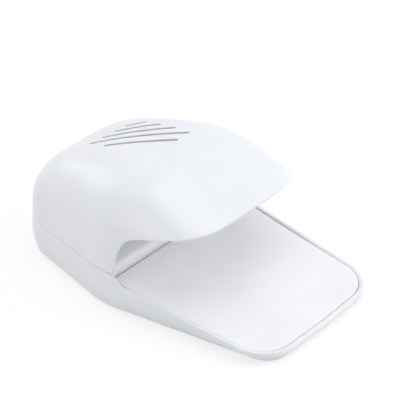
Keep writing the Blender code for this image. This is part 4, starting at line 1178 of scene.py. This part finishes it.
# Studio
def make_camera():
    data = bpy.data.cameras.new("photo_camera")
    data.lens = camera_lens
    data.sensor_width = camera_sensor
    data.sensor_fit = "HORIZONTAL"
    data.clip_start = camera_near
    data.clip_end = camera_far
    camera = link("photo_camera", data)
    back = Vector(camera_back).normalized()
    camera.location = Vector(camera_target) + back * camera_distance
    camera.rotation_euler = (-back).to_track_quat("-Z", "Y").to_euler()
    bpy.context.scene.camera = camera


def seen_rays(tree):
    """One for a camera, glossy or transmission ray, and zero for any other."""
    path = tree.nodes.new("ShaderNodeLightPath")
    first = tree.nodes.new("ShaderNodeMath")
    first.operation = "MAXIMUM"
    tree.links.new(path.outputs["Is Camera Ray"], first.inputs[0])
    tree.links.new(path.outputs["Is Glossy Ray"], first.inputs[1])
    second = tree.nodes.new("ShaderNodeMath")
    second.operation = "MAXIMUM"
    tree.links.new(first.outputs[0], second.inputs[0])
    tree.links.new(path.outputs["Is Transmission Ray"], second.inputs[1])
    return second.outputs[0]


def make_world():
    world = bpy.data.worlds.new("studio")
    bpy.context.scene.world = world
    world.use_nodes = True
    tree = world.node_tree
    background = tree.nodes["Background"]
    background.inputs["Color"].default_value = world_colour
    strength = tree.nodes.new("ShaderNodeMapRange")
    strength.inputs["To Min"].default_value = world_strength
    strength.inputs["To Max"].default_value = white_strength
    tree.links.new(seen_rays(tree), strength.inputs["Value"])
    tree.links.new(strength.outputs["Result"], background.inputs["Strength"])


def make_floor():
    shape = bmesh.new()
    bmesh.ops.create_grid(shape, x_segments=1, y_segments=1, size=floor_size / 2)
    floor = from_bmesh("studio_floor", shape)
    floor.location.z = -floor_drop
    material = bpy.data.materials.new("floor_paper")
    material.use_nodes = True
    tree = material.node_tree
    tree.nodes.clear()
    output = tree.nodes.new("ShaderNodeOutputMaterial")
    diffuse = tree.nodes.new("ShaderNodeBsdfDiffuse")
    albedo = tree.nodes.new("ShaderNodeMapRange")
    albedo.inputs["To Min"].default_value = floor_bounce
    albedo.inputs["To Max"].default_value = floor_seen
    tree.links.new(seen_rays(tree), albedo.inputs["Value"])
    tree.links.new(albedo.outputs["Result"], diffuse.inputs["Color"])
    glow = tree.nodes.new("ShaderNodeEmission")
    strength = tree.nodes.new("ShaderNodeMath")
    strength.operation = "MULTIPLY"
    strength.inputs[1].default_value = floor_glow
    tree.links.new(seen_rays(tree), strength.inputs[0])
    tree.links.new(strength.outputs[0], glow.inputs["Strength"])
    both = tree.nodes.new("ShaderNodeAddShader")
    tree.links.new(diffuse.outputs[0], both.inputs[0])
    tree.links.new(glow.outputs[0], both.inputs[1])
    tree.links.new(both.outputs[0], output.inputs["Surface"])
    paint(floor, material)


def make_lamps():
    for name, place, width, power in lamp_settings:
        data = bpy.data.lights.new(name, "AREA")
        data.shape = "RECTANGLE"
        data.size = width
        data.size_y = width
        data.energy = power
        lamp = link(name, data)
        lamp.location = place
        lamp.rotation_euler = (Vector(lamp_aim) - Vector(place)).to_track_quat("-Z", "Y").to_euler()


# Studio and pieces, each on the body that it rides
make_camera()
make_world()
make_floor()
make_lamps()

looks = {
    "shell_white": plastic("shell_white", colour=(0.805, 0.825, 0.862), roughness=0.34),
    # The plate's white is lighter than the shell's. This is partly its own tone and partly painted light,
    # which brightens it where the hood shades it.
    "plate_white": plastic(
        "plate_white", colour=(0.872, 0.882, 0.908), roughness=0.33, grain=3200.0, grain_strength=0.06
    ),
    # The inner cover is the shell's white plastic, set lighter as painted light, which brightens it inside the
    # hood's shade.
    "cover_white": plastic("cover_white", colour=(0.91, 0.92, 0.935), roughness=0.42),
    "black_plastic": plastic("black_plastic", colour=(0.03, 0.03, 0.034), roughness=0.45),
    "plunger_red": plastic("plunger_red", colour=(0.55, 0.06, 0.05), roughness=0.38),
    "lead_red": plastic("lead_red", colour=(0.42, 0.02, 0.02), roughness=0.42),
    "lead_black": plastic("lead_black", colour=(0.02, 0.02, 0.022), roughness=0.42),
    "steel": metal("steel", colour=(0.62, 0.63, 0.65), roughness=0.28),
    "contact_nickel": metal("nickel", colour=(0.74, 0.72, 0.68), roughness=0.24),
    "cell_jacket": plastic("cell_jacket", colour=(0.05, 0.16, 0.24), roughness=0.34, coat=0.6),
    "board_green": board("board_green", colour=(0.03, 0.20, 0.09)),
    "led_clear": lens("led_lens", colour=(0.78, 0.72, 0.95)),
    "foot_rubber": rubber("foot_rubber", colour=(0.16, 0.16, 0.165)),
}

smoothing = make_smoothing()
for row in frame["record"]["subparts"]:
    node = nodes[row["node"]]
    paint(node, looks[row["material_slot"]])
    if row["node"] in rounded_nodes or row["node"].startswith(rounded_kinds):
        weld = node.modifiers.new("weld", "WELD")
        weld.merge_threshold = weld_distance
        add_bevel(node, small_round, edge_round_steps, sharp_edge_angle)
    node.modifiers.new("smooth_shading", "NODES").node_group = smoothing

hood = make_hood()
paint(hood, looks["shell_white"])
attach(hood, "case")
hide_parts("upper_hood")

posts = make_hood_posts()
paint(posts, looks["shell_white"])
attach(posts, "case")

base = make_base()
paint(base, looks["shell_white"])
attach(base, "case")
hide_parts("lower_base")

plate = make_plate()
paint(plate, looks["plate_white"])
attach(plate, "plate")
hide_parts("finger_plate")

cover = make_cover()
paint(cover, looks["cover_white"])
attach(cover, "case")
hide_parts("inner_cover")

bpy.context.scene.view_settings.view_transform = "Standard"
